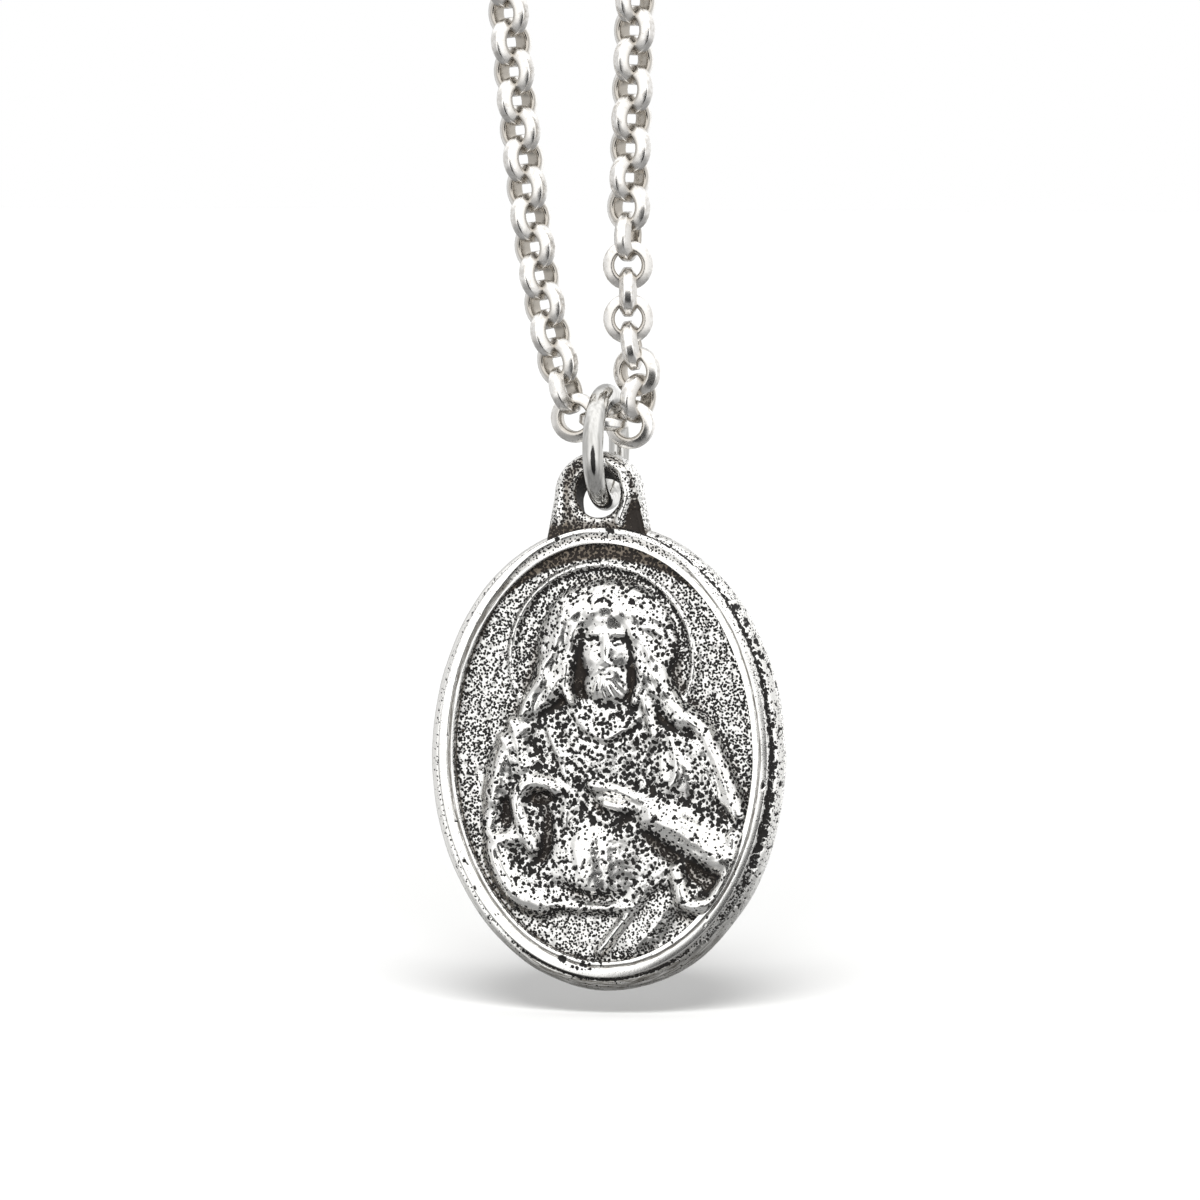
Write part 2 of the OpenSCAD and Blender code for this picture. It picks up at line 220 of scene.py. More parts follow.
# Locks of hair: half width, rise, strands across the lock, then the way each takes
LOCKS = [
    (1.15, 0.7, 3, ((0.1, 7.45), (-1.5, 6.9), (-2.3, 5.4), (-2.1, 4.2), (-2.7, 3.1), (-3.6, 2.2))),
    (1.15, 0.7, 3, ((0.4, 7.45), (1.9, 6.9), (2.7, 5.4), (2.4, 4.2), (3.0, 3.0), (3.9, 1.8))),
    (0.7, 0.78, 1, ((-0.3, 7.5), (-1.3, 7.0), (-2.0, 6.1), (-2.4, 5.1), (-2.8, 4.3), (-3.0, 3.5))),
    (0.6, 0.82, 1, ((-0.6, 7.0), (-1.35, 6.1), (-1.55, 4.9), (-1.8, 3.7), (-1.5, 2.7))),
    (0.62, 0.74, 1, ((-2.7, 4.7), (-3.05, 3.6), (-3.55, 2.75), (-3.95, 2.0))),
    (0.62, 0.76, 1, ((-2.05, 4.4), (-2.45, 3.2), (-3.05, 2.45))),
    (0.7, 0.78, 1, ((0.5, 7.5), (1.5, 7.0), (2.0, 6.1), (2.4, 4.9), (2.75, 3.9))),
    (0.6, 0.82, 1, ((0.9, 7.0), (1.65, 6.0), (1.9, 4.85), (1.95, 3.7), (1.65, 2.7))),
    (0.62, 0.74, 1, ((2.6, 4.65), (3.0, 3.5), (3.5, 2.65), (4.4, 1.7))),
    (0.55, 0.76, 1, ((2.15, 4.1), (2.2, 3.0), (2.4, 2.0), (2.65, 1.05))),
]

# The face's oval: across, up, half width, half height, turn
FACE = (0.25, 4.65, 1.5, 2.7, 0)

# The face's soft forms, which are added to what they lie on: across, up, half width, half height,
# turn, rise. The paired ones are given on its left and mirrored to its right
FACE_MIDDLE = [
    (0.25, 6.55, 1.0, 0.6, 0, 0.05),
    (0.25, 5.3, 0.24, 0.85, 0, 0.14),
    (0.25, 4.66, 0.27, 0.3, 0, 0.16),
    (0.25, 4.0, 0.42, 0.07, 0, -0.09),
    (0.25, 4.08, 0.36, 0.1, 0, 0.05),
    (0.25, 3.9, 0.32, 0.12, 0, 0.07),
    (0.25, 3.5, 0.4, 0.3, 0, 0.05),
]
FACE_PAIRS = [
    (-0.33, 5.6, 0.5, 0.34, 0, -0.13),
    (-0.33, 5.56, 0.32, 0.2, 0, 0.13),
    (-0.4, 6.0, 0.62, 0.17, 6, 0.1),
    (-0.6, 4.85, 0.5, 0.5, 0, 0.06),
    (0.03, 4.55, 0.17, 0.16, 0, 0.08),
]

# Its fine folds, mirrored too: half width, rise, then the way each takes
FACE_FOLDS = [
    (0.2, 0.07, ((0.2, 4.34), (-0.15, 4.24), (-0.55, 3.95))),
    (0.07, -0.05, ((-0.63, 5.5), (-0.33, 5.43), (-0.03, 5.52))),
    (0.09, -0.06, ((-0.68, 5.66), (-0.33, 5.76), (-0.02, 5.64))),
]

# Soft folds and grooves of the robe: half width, rise, then the way each takes
ROBE_FOLDS = [
    (0.3, 0.16, ((-1.6, 2.6), (-0.9, 1.6), (0.2, 1.0), (1.3, 1.6), (2.2, 2.5))),
    (0.16, -0.14, ((-1.9, 2.3), (-1.1, 1.25), (0.2, 0.62), (1.5, 1.25), (2.5, 2.2))),
    (0.22, -0.16, ((2.2, 2.9), (2.8, 2.0), (3.8, 1.4), (5.1, 0.9))),
    (0.3, 0.14, ((2.9, 1.7), (3.6, 0.6), (3.7, -0.8), (3.0, -1.7))),
    (0.22, -0.16, ((3.7, 1.0), (4.4, -0.2), (4.6, -1.4), (4.2, -2.4))),
    (0.3, 0.14, ((4.6, 0.9), (5.2, -0.5), (5.4, -1.9), (5.2, -2.9))),
    (0.25, -0.24, ((5.5, -1.9), (6.1, -2.7), (6.5, -3.1))),
    (0.2, -0.12, ((2.6, 0.6), (2.7, -0.7), (2.3, -1.8))),
    (0.3, -0.2, ((-1.2, -1.9), (-0.6, -2.9), (0.4, -3.4), (1.4, -2.9))),
    (0.3, -0.26, ((-0.9, -1.3), (-0.5, -2.1), (0.3, -2.8))),
    (0.35, -0.08, ((-1.3, -2.8), (-1.6, -4.6), (-1.1, -6.3))),
    (0.35, -0.06, ((0.0, -3.4), (-0.1, -4.8), (0.1, -6.4))),
    (0.45, -0.34, ((-2.4, -6.1), (-0.6, -6.75), (1.2, -6.6))),
    (0.4, -0.32, ((-3.0, -2.0), (-2.7, -3.2), (-2.9, -4.6), (-3.4, -5.6))),
    (0.45, -0.36, ((-5.0, -1.9), (-4.75, -2.7), (-5.2, -3.5))),
    (0.2, -0.16, ((-5.6, -3.6), (-5.0, -3.5), (-4.5, -3.6))),
    (0.18, -0.16, ((-5.3, -4.3), (-4.9, -5.5), (-4.2, -6.4))),
    (0.42, -0.46, ((-3.5, -2.1), (-3.0, -1.85), (-2.5, -2.0))),
    (0.5, -0.4, ((2.0, -3.7), (3.5, -4.9), (4.9, -5.6), (5.7, -5.6))),
    (0.4, -0.3, ((4.5, -5.9), (5.2, -5.9), (5.1, -6.4))),
    (0.18, 0.1, ((2.4, -4.5), (3.7, -5.2), (5.2, -5.6))),
    (0.3, 0.1, ((3.2, -2.6), (4.6, -3.2), (6.0, -4.0))),
    (0.2, -0.12, ((2.4, -3.1), (4.0, -3.9), (5.7, -4.9))),
    (0.14, -0.08, ((-4.8, 1.4), (-5.4, -0.2), (-5.7, -2.2))),
    (0.2, -0.14, ((-3.2, 1.5), (-3.4, 0.6), (-2.7, -0.3))),
    (0.2, 0.12, ((-2.9, 1.9), (-2.5, 0.9), (-2.0, -0.1))),
    (0.2, -0.12, ((-2.4, 2.2), (-1.9, 1.0), (-1.4, -0.4))),
    (0.14, 0.1, ((-4.1, -0.55), (-3.6, -0.35), (-3.05, 0.0))),
    (0.08, -0.07, ((1.2, -1.9), (0.5, -1.75), (-0.1, -1.6))),
    (0.1, -0.1, ((1.4, -2.02), (0.7, -1.95), (0.1, -1.9))),
    (0.3, 0.08, ((3.3, -7.0), (2.5, -8.2), (1.5, -9.1))),
]

# Places the wearing has brightened: across, up, half width, half height, turn, amount
RUBBED = [
    (0.12, 6.77, 1.75, 0.95, 0, 1.0),
    (0.25, 5.2, 1.1, 1.2, 0, 0.6),
    (0.25, 3.7, 0.9, 0.8, 0, 0.45),
    (-2.06, 5.57, 0.7, 0.45, 30, 0.8),
    (-2.66, 4.27, 0.5, 1.0, 0, 0.7),
    (-3.5, 2.9, 0.5, 0.5, 0, 0.9),
    (-1.7, 3.9, 0.4, 0.8, 0, 0.5),
    (2.16, 5.4, 0.4, 0.7, 0, 0.8),
    (2.7, 4.0, 0.5, 0.8, -10, 0.6),
    (2.16, 2.16, 0.5, 0.7, 0, 0.8),
    (4.2, 1.9, 1.4, 0.3, -43, 0.9),
    (-4.3, 1.5, 0.6, 0.4, 30, 0.7),
    (-4.9, 0.0, 0.4, 1.6, 15, 0.7),
    (-3.2, -1.35, 1.0, 0.4, 0, 0.8),
    (-5.7, -1.9, 0.6, 1.5, 10, 0.6),
    (-5.4, -3.6, 0.6, 0.5, 0, 0.6),
    (-4.9, -5.5, 0.55, 1.7, 15, 0.95),
    (-3.8, -7.0, 0.9, 0.35, -25, 0.8),
    (-0.57, -4.7, 1.6, 1.5, 0, 0.6),
    (0.4, -1.8, 1.2, 0.6, 0, 0.75),
    (3.75, -0.5, 1.1, 1.0, 0, 0.55),
    (5.7, -0.9, 0.6, 1.8, 20, 0.6),
    (4.3, -3.4, 2.5, 1.05, -31, 1.0),
    (6.2, -5.5, 0.5, 1.4, -10, 0.9),
    (4.9, -7.2, 0.9, 0.35, 0, 0.9),
    (0.9, -8.06, 2.0, 0.3, 54, 0.7),
]

HALO_AT = (-0.1, 4.75)
HALO_R = 4.52
HALO_HALF = 0.17
HALO_RISE = 0.2

# The beard: across, up, half width, half height, turn, and then its top and its hairs
BEARD = (0.25, 3.4, 1.25, 1.0, 0)
BEARD_TOP = 3.95
BEARD_HAIRS = 22
BEARD_ROOT = 4.4
HAIR_DEPTH = 0.07

# How forms merge where they meet: the higher, the sharper the edge between them
BLEND = 7.0


def round_top(share):
    """Profile of a half round, by the share of its half width."""
    return np.sqrt(np.clip(1 - share * share, 0, None))


def turned(x, z, form):
    """A point's place inside a rounded form, as shares of its half width and half height."""
    t = math.radians(form[4])
    dx, dz = x - form[0], z - form[1]
    return ((dx * math.cos(t) + dz * math.sin(t)) / form[2],
            (dz * math.cos(t) - dx * math.sin(t)) / form[3])


def beside_way(x, z, way):
    """Distance from a way, the side it lies on, how far along it lies, and the way's length."""
    near = np.full(x.shape, 1e9)
    side = np.zeros(x.shape)
    along = np.zeros(x.shape)
    done = 0.0
    for a, b in zip(way[:-1], way[1:]):
        ax, az = b[0] - a[0], b[1] - a[1]
        length = math.hypot(ax, az)
        t = np.clip(((x - a[0]) * ax + (z - a[1]) * az) / length ** 2, 0, 1)
        dx, dz = x - a[0] - t * ax, z - a[1] - t * az
        d = np.hypot(dx, dz)
        closer = d < near
        near = np.where(closer, d, near)
        side = np.where(closer, np.sign(dx * az - dz * ax), side)
        along = np.where(closer, done + t * length, along)
        done += length
    return near, side, along, done


def inside(x, z, outline):
    """Whether an outline goes round a point: a line to the right crosses it an odd number of times.
    """
    odd = np.zeros(x.shape, bool)
    for a, b in zip(outline, outline[1:] + outline[:1]):
        if a[1] != b[1]:
            crosses = (a[1] > z) != (b[1] > z)
            odd ^= crosses & (x < a[0] + (z - a[1]) * (b[0] - a[0]) / (b[1] - a[1]))
    return odd


def rubbed(x, z):
    """How far the wearing has brightened a point of the figure, from 0 to 1."""
    most = np.zeros(x.shape)
    for form in RUBBED:
        share = np.hypot(*turned(x, z, form))
        most = np.maximum(most, form[5] * soft(share, 1.15, 0.55))
    return most


def mirrored_form(form):
    """A rounded form of the face on the face's other side."""
    x, z, half_width, half_height, turn, rise = form
    return 2 * FACE[0] - x, z, half_width, half_height, -turn, rise


def mirrored_fold(fold):
    """A fold of the face on the face's other side."""
    half, rise, way = fold
    return half, rise, tuple((2 * FACE[0] - x, z) for x, z in way)


def lock_top(half, rise, count, share, along, length):
    """Height across a lock of hair: it narrows to its end, with strands that wave and swell."""
    wide = half * (1 - 0.45 * (along / length) ** 2)
    share = share / wide
    wave = np.cos(math.pi * count * (share + 0.3 * np.sin(along * 2.6)))
    lumps = np.sin(along * 3.7 + 5 * half + 2 * share)
    top = (rise + 0.06 * wave + 0.07 * lumps) * np.clip(1 - share ** 2, 0, None) ** 0.6
    return np.clip(top, 0, None)


def relief(x, z):
    """Height of the figure over the field at points of the medal's face, in millimetres."""
    ring = np.abs(np.hypot(x - HALO_AT[0], z - HALO_AT[1]) - HALO_R) / HALO_HALF
    edge = beside_way(x, z, OUTLINE + OUTLINE[:1])[0]
    body = BODY_RISE * round_top(np.clip(1 - edge / BODY_EDGE, 0, 1)) * inside(x, z, OUTLINE)
    total = (HALO_RISE * round_top(ring)) ** BLEND + body ** BLEND
    for form in DOMES:
        total += (form[5] * round_top(np.hypot(*turned(x, z, form)))) ** BLEND
    for half, rise, way in ROLLS:
        near = beside_way(x, z, smooth_way(way, 6))[0] / half
        total += (rise * np.clip(1 - near ** 2, 0, None)) ** BLEND
    for half, rise, count, way in LOCKS:
        near, side, along, length = beside_way(x, z, smooth_way(way, 8))
        total += lock_top(half, rise, count, near * side, along, length) ** BLEND
    height = total ** (1 / BLEND)

    # The face's soft forms, the folds, which fade to their ends, and the beard's fine hairs
    for form in FACE_MIDDLE + FACE_PAIRS + [mirrored_form(form) for form in FACE_PAIRS]:
        share = np.clip(np.hypot(*turned(x, z, form)), 0, 1)
        height += form[5] * (1 - share ** 2) ** 2
    folds = FACE_FOLDS + [mirrored_fold(fold) for fold in FACE_FOLDS] + ROBE_FOLDS
    for half, rise, way in folds:
        near, side, along, length = beside_way(x, z, smooth_way(way, 6))
        share = np.clip(near / half, 0, 1)
        taper = np.clip(np.minimum(along, length - along) / (0.35 * length) + 0.25, 0, 1)
        height += rise * taper * (1 - share ** 2) ** 2
    around = np.arctan2(z - BEARD_ROOT, x - BEARD[0])
    beard = np.clip(1 - np.hypot(*turned(x, z, BEARD)) ** 2, 0, None)
    beard *= np.clip((BEARD_TOP - z) / 0.5, 0, 1)
    height += HAIR_DEPTH * beard * np.cos(BEARD_HAIRS * around + 3 * np.sin(2 * z))
    return np.clip(height, 0, None)


# Materials

def linear(colour):
    """An sRGB hex colour as linear red, green, blue and alpha."""
    parts = [int(colour[k:k + 2], 16) / 255 for k in (1, 3, 5)]
    light = [c / 12.92 if c <= 0.04045 else ((c + 0.055) / 1.055) ** 2.4 for c in parts]
    return (*light, 1.0)


def add_node(tree, kind, inputs=None, **settings):
    """Adds one node. Each input, by name or place, gets a value, a socket or a node's first output.
    """
    node = tree.nodes.new(kind)
    for name, value in settings.items():
        setattr(node, name, value)
    for key, value in (inputs or {}).items():
        if isinstance(value, bpy.types.Node):
            value = value.outputs[0]
        if isinstance(value, bpy.types.NodeSocket):
            tree.links.new(value, node.inputs[key])
        else:
            node.inputs[key].default_value = value
    return node


def new_material(name):
    """A material with an empty tree, and what adds nodes to it."""
    material = bpy.data.materials.new(name)
    material.use_nodes = True
    material.node_tree.nodes.clear()
    return material, partial(add_node, material.node_tree)


# How many of a pattern's forms lie in a millimetre: the large round pits 0.23 mm apart, the small
# ones 0.13 mm, the grain under 0.1 mm across, and the streaks 1 mm long and 0.05 mm wide
GRAIN_PER_MM = 11.0
SMALL_PITS_PER_MM = 7.9
LARGE_PITS_PER_MM = 4.3
STREAKS_PER_MM = (0.9, 20.0)
WEAR_PER_MM = 5.2
DENTS_PER_MM = 2.6
BUMP_DEPTH = 0.03


def cast_silver():
    """Cast and oxidised silver: bright where rubbed, black in its pits, brown in deep recesses.

    The mesh says how far a point was polished, how much brown patina and painted shade it takes,
    how far inside a large pit it is (above zero inside), how wide its small round pits are as a
    share of their spacing, which also paints shade on some slopes, whether it lies on a raised form
    and how strongly it was brushed.
    """
    material, add = new_material("cast_oxidised_silver")
    place = add("ShaderNodeTexCoord").outputs["Object"]
    polish, patina_and_shade, pit, pit_radius, raised, brushed = [
        add("ShaderNodeAttribute", attribute_name=name).outputs["Fac"]
        for name in ("polish", "patina_and_shade", "pit", "pit_radius", "raised", "brushed")
    ]

    # Large pits, whose edges the grain frays
    grain = add("ShaderNodeTexNoise", {
        "Vector": place, "Scale": GRAIN_PER_MM / MM, "Detail": 2.0})
    edge = add("ShaderNodeMath", {0: pit, 1: 0.6}, operation="SUBTRACT")
    frayed = add("ShaderNodeMath", {0: grain, 1: 1.2, 2: edge}, operation="MULTIPLY_ADD")
    large = add("ShaderNodeMapRange", {
        "Value": frayed, "From Min": -0.12, "From Max": 0.12}, interpolation_type="SMOOTHSTEP")

    # Round pits of two sizes: the small ones mostly on the ground, the others on raised forms
    form = add("ShaderNodeMapRange", {
        "Value": raised, "From Min": 0.4, "From Max": 0.6}, interpolation_type="SMOOTHSTEP")
    uneven = add("ShaderNodeMath", {0: grain, 1: 0.5, 2: -0.25}, operation="MULTIPLY_ADD")
    pits = []
    sizes = ((SMALL_PITS_PER_MM, 0.93, 0.5), (LARGE_PITS_PER_MM, 0.62, 1.0))
    for per_mm, on_ground, on_forms in sizes:
        cells = add("ShaderNodeTexVoronoi", {"Vector": place, "Scale": per_mm / MM})
        share = add("ShaderNodeMix", {0: form, 2: on_ground, 3: on_forms})
        reach = add("ShaderNodeMath", {
            0: pit_radius, 1: share, 2: uneven}, operation="MULTIPLY_ADD")
        pits.append(add("ShaderNodeMath", {0: reach, 1: cells}, operation="SUBTRACT"))
    depth = add("ShaderNodeMath", {0: pits[0], 1: pits[1]}, operation="MAXIMUM")
    small = add("ShaderNodeMapRange", {
        "Value": depth, "From Min": -0.03, "From Max": 0.03}, interpolation_type="SMOOTHSTEP")
    dark = add("ShaderNodeMath", {0: large, 1: small}, operation="MAXIMUM")

    # Streaks along the brushed edge
    around = add("ShaderNodeUVMap", uv_map="around")
    drawn = add("ShaderNodeMapping", {
        "Vector": around, "Scale": (STREAKS_PER_MM[0] / MM, STREAKS_PER_MM[1] / MM, 1.0)})
    streaks = add("ShaderNodeTexNoise", {
        "Vector": drawn, "Scale": 1.0, "Detail": 4.0, "Roughness": 0.7})
    streak = add("ShaderNodeMapRange", {
        "Value": streaks, "From Min": 0.38, "From Max": 0.58}, interpolation_type="SMOOTHSTEP")
    streak = add("ShaderNodeMath", {0: streak, 1: brushed}, operation="MULTIPLY")

    # Bright metal that browns with patina and painted shade, and near-black oxide in every pit
    deep = add("ShaderNodeMapRange", {
        "Value": patina_and_shade, "From Min": 0.45, "From Max": 1.0}, interpolation_type="SMOOTHSTEP")
    metal = add("ShaderNodeMix", {
        0: deep, 6: linear("#f6f5f2"), 7: linear("#7a7166")}, data_type="RGBA").outputs[2]
    metal = add("ShaderNodeMix", {
        0: streak, 6: metal, 7: linear("#8a867f")}, data_type="RGBA").outputs[2]
    oxide = add("ShaderNodeMix", {
        0: deep, 6: linear("#0e0c0b"), 7: linear("#1d1814")}, data_type="RGBA").outputs[2]
    colour = add("ShaderNodeMix", {
        0: dark, 6: metal, 7: oxide}, data_type="RGBA").outputs[2]
    polished = add("ShaderNodeMapRange", {"Value": polish, "To Min": 0.4, "To Max": 0.2})
    streaked = add("ShaderNodeMath", {0: streak, 1: 0.2, 2: polished}, operation="MULTIPLY_ADD")
    rough = add("ShaderNodeMix", {0: dark, 2: streaked, 3: 0.7})
    metallic = add("ShaderNodeMapRange", {"Value": dark, "To Min": 1.0, "To Max": 0.1})

    # Grain, streaks and pits also stand in the surface
    height = add("ShaderNodeMath", {0: streak, 1: -0.15, 2: 1.0}, operation="MULTIPLY_ADD")
    height = add("ShaderNodeMath", {0: grain, 1: 0.1, 2: height}, operation="MULTIPLY_ADD")
    height = add("ShaderNodeMath", {0: height, 1: small}, operation="SUBTRACT")
    height = add("ShaderNodeMath", {0: large, 1: -0.6, 2: height}, operation="MULTIPLY_ADD")
    bump = add("ShaderNodeBump", {
        "Strength": 0.7, "Distance": BUMP_DEPTH * MM, "Height": height})
    shader = add("ShaderNodeBsdfPrincipled", {
        "Base Color": colour, "Metallic": metallic, "Roughness": rough, "Normal": bump})
    add("ShaderNodeOutputMaterial", {"Surface": shader})
    return material


def polished_silver(name, tone, dull, least, most, stretch):
    """Polished silver wire with faint wear; inside a link the dull tone is painted shade.

    The wear is drawn out upwards by the given stretch, and turns the roughness from least to most.
    """
    material, add = new_material(name)
    place = add("ShaderNodeTexCoord").outputs["Object"]
    drawn = add("ShaderNodeMapping", {"Vector": place, "Scale": (1, 1, 1 / stretch)})
    wear = add("ShaderNodeTexNoise", {
        "Vector": drawn, "Scale": WEAR_PER_MM / MM, "Detail": 3.0})
    rough = add("ShaderNodeMapRange", {
        "Value": wear, "From Min": 0.3, "From Max": 0.7, "To Min": least, "To Max": most})
    # The inside of a link takes the dull tone as painted shade; the wear takes it too
    inner = add("ShaderNodeAttribute", attribute_name="inner").outputs["Fac"]
    worn = add("ShaderNodeMapRange", {
        "Value": wear, "From Min": 0.4, "From Max": 0.68, "To Max": 0.5})
    inner_shade_and_wear = add("ShaderNodeMath", {0: inner, 1: worn}, operation="MAXIMUM")
    colour = add("ShaderNodeMix", {
        0: inner_shade_and_wear, 6: linear(tone), 7: linear(dull)}, data_type="RGBA").outputs[2]
    dents = add("ShaderNodeTexNoise", {
        "Vector": place, "Scale": DENTS_PER_MM / MM, "Detail": 3.0})
    bump = add("ShaderNodeBump", {
        "Strength": 0.3, "Distance": BUMP_DEPTH * MM, "Height": dents})
    shader = add("ShaderNodeBsdfPrincipled", {
        "Base Color": colour, "Metallic": 1.0, "Roughness": rough, "Normal": bump})
    add("ShaderNodeOutputMaterial", {"Surface": shader})
    return material


CAST = cast_silver()
RING_SILVER = polished_silver("polished_ring_silver", "#d3d2cf", "#8f8d89", 0.06, 0.12, 14.0)
CHAIN_SILVER = polished_silver("polished_chain_silver", "#f7f5f2", "#b9b3aa", 0.2, 0.3, 1.0)


# The medal

# Unevenness of the casting: size of its forms, octaves, seed
RELIEF_ROUGH = (0.42, 3, 0.0)
RELIEF_SWELL = (1.3, 2, 1.0)
RELIEF_PITS = (0.26, 2, 5.0)
BLANK_WAVE = (3.0, 2, 2.0)
BLANK_ROUGH = (0.4, 3, 3.0)
BLANK_PITS = (0.32, 2, 8.0)
VALLEY_WANDER = (0.9, 3, 6.0)
BAIL_ROUGH = (0.4, 3, 4.0)
BAIL_PITS = (0.3, 2, 10.0)
LIP_WANDER = (0.7, 2, 11.0)
FLANK_BREAK = (0.5, 3, 12.0)

# Cells of the relief's grid, how far it reaches under the rim, its root in the blank, the depth of
# its pits, the rise of its unevenness, and the rise over its surroundings that gets a full polish
GRID_ACROSS = 268
GRID_UP = 364
UNDER_RIM = 0.2
RELIEF_HALF = (RIM_HALF[0] - RIM_BAND + UNDER_RIM, RIM_HALF[1] - RIM_BAND + UNDER_RIM)
RELIEF_ROOT = 0.3
PIT_DEPTH = 0.06
ROUGH_RISE = 0.025
SWELL_RISE = 0.05
PROUD_RISE = 0.2


def pit_radius(cover):
    """Radius of pits that lie at random and cover a given share, as a share of their spacing."""
    return np.cbrt(-0.75 / math.pi * np.log(1 - cover))


def face_near(x, z):
    """Share, up to 1, by which a point belongs to the face, which keeps few pits."""
    return soft(np.hypot(*turned(x, z, FACE)), 1.1, 0.8)


def with_added(fields, added):
    """Attributes of a grid's points and, after them, of the points that close it."""
    return {name: np.concatenate([field.ravel(), added[name]]) for name, field in fields.items()}


def relief_surface():
    """The relief's grid: points from the medal's middle, and what its material reads there."""
    u, v = np.meshgrid(np.linspace(-1, 1, GRID_ACROSS + 1), np.linspace(-1, 1, GRID_UP + 1))
    x = RELIEF_HALF[0] * u * np.sqrt(1 - v * v / 2)
    z = RELIEF_HALF[1] * v * np.sqrt(1 - u * u / 2)
    flat = np.stack([x, 0 * x, z], -1)
    rough = noise_at(flat, *RELIEF_ROUGH)
    swell = noise_at(flat, *RELIEF_SWELL)
    edge = 1 - np.maximum(np.abs(u), np.abs(v))
    calm = np.clip(edge / 0.02, 0, 1)
    worn = rubbed(x, z + RIM_LIFT)
    face = face_near(x, z + RIM_LIFT)

    # The forms, softened by the casting, less so in the face
    height = relief(x, z + RIM_LIFT)
    height = blurred(height, 1.6) * (1 - face) + blurred(height, 0.8) * face
    hollow = face * soft(z, 6.0, 5.7) * soft(blurred(height, 4) - height, 0.004, 0.035)
    uneven = SWELL_RISE * swell * soft(height, 0.0, 0.5) + ROUGH_RISE * rough * (1 - 0.5 * worn)
    height = (height + uneven) * calm

    # Where a point stands proud, lies deep, slopes or faces down, and how near rim and halo it is
    proud = (height - blurred(height, 14)) / PROUD_RISE
    deep = (blurred(height, 12) - height) / PROUD_RISE
    rise_up, rise_right = np.gradient(height, 2 * RELIEF_HALF[0] / GRID_ACROSS)
    wall = soft(np.hypot(rise_up, rise_right), 0.25, 1.1)
    down_facing_shade = soft(0.8 * rise_up - 0.5 * rise_right, 0.1, 0.9)
    rim_near = np.clip(1.25 - edge / 0.075, 0, 1)
    top = soft(z, 2.0, 8.0)
    raised = soft(height, 0.05, 0.5)
    from_halo = np.hypot(x - HALO_AT[0], z + RIM_LIFT - HALO_AT[1]) - HALO_R + 0.06 * rough
    halo = np.exp(-(from_halo / 0.09) ** 2) * (1 - raised)
    under_halo = np.exp(-((from_halo + 0.24) / 0.09) ** 2) * (1 - raised)

    # Rubbed places and the halo shine; recesses are brown with patina, and a band under the top of
    # the rim is brown as a painted shadow
    polish = 0.25 + 0.15 * raised + 0.35 * proud * raised + worn * (0.8 + 0.5 * swell) + 0.75 * halo
    polish = np.clip(polish, 0, 1)
    # Patina along the rim all round, growing towards its top into a painted shadow of the rim
    patina_and_shade = np.clip(0.8 * deep + (0.3 + 0.7 * top) * rim_near, 0, 1) * (1 - polish)
    patina_and_shade = np.maximum(patina_and_shade, soft(z, 3.0, 7.0) * soft(edge, 0.12, 0.08) * (1 - halo))

    # Share that small round pits cover: most in recesses and on steep walls, least in the face. More
    # pits on slopes that face down and to the right are painted shade
    cover = 0.53 + 0.42 * patina_and_shade + 0.22 * wall * raised
    cover = cover * (1 - polish) ** 1.2 + 0.3 * down_facing_shade * (1 - 0.5 * polish)
    cover = cover + (0.15 - 0.25 * top) * rim_near * (1 - halo)
    cover = cover + 0.35 * under_halo * (0.3 + 0.7 * top)
    cover = cover - 0.12 * soft(z, -4.5, -7.5) * (1 - raised) * (1 - rim_near)
    cover = (cover + 0.06 * worn * raised) * (1 - 0.65 * face)
    cover = np.clip(cover + 0.55 * hollow + 0.02, 0.02, 0.85)

    # Large pits, which are sunk into the mesh
    large = np.clip(0.1 * raised * (1 - 0.7 * worn) + 0.01, 0.01, 1) * (1 - 0.9 * face)
    pit = pitted(flat, np.clip(large, 0.002, 1), *RELIEF_PITS) * (1 - face) - face
    height = np.clip(height - PIT_DEPTH * soft(pit, -0.3, 0.7), -0.1, None) * calm
    fields = {"polish": polish, "patina_and_shade": patina_and_shade, "pit": pit, "pit_radius": pit_radius(cover),
              "raised": raised}
    return np.stack([x, -height, z + RIM_LIFT], -1), fields


def medal_relief():
    """The field with its figure: a grid drawn into the field's oval, with a root in the blank."""
    surface, fields = relief_surface()
    rows, across = surface.shape[:2]
    front = surface.reshape(-1, 3) + (MEDAL_X, -FIELD_Y, MEDAL_Z)
    faces = grid_faces(rows, across)
    loop = [(0, i) for i in range(across - 1)]
    loop += [(j, across - 1) for j in range(rows - 1)]
    loop += [(rows - 1, i) for i in range(across - 1, 0, -1)]
    loop += [(j, 0) for j in range(rows - 1, 0, -1)]
    border = [j * across + i for j, i in loop]
    root = front[border]
    root[:, 1] = RELIEF_ROOT - FIELD_Y
    first, count = len(front), len(border)
    for k in range(count):
        on = (k + 1) % count
        faces.append((border[on], border[k], first + k, first + on))
    faces.append(tuple(first + k for k in range(count - 1, -1, -1)))
    hidden = {"polish": 0, "patina_and_shade": 1, "pit": -1, "pit_radius": 0, "raised": 0}
    added = {name: np.full(count, value) for name, value in hidden.items()}
    return mesh_object("medal_figure", np.vstack([front, root]), faces, "medal", CAST,
                       with_added(fields, added))
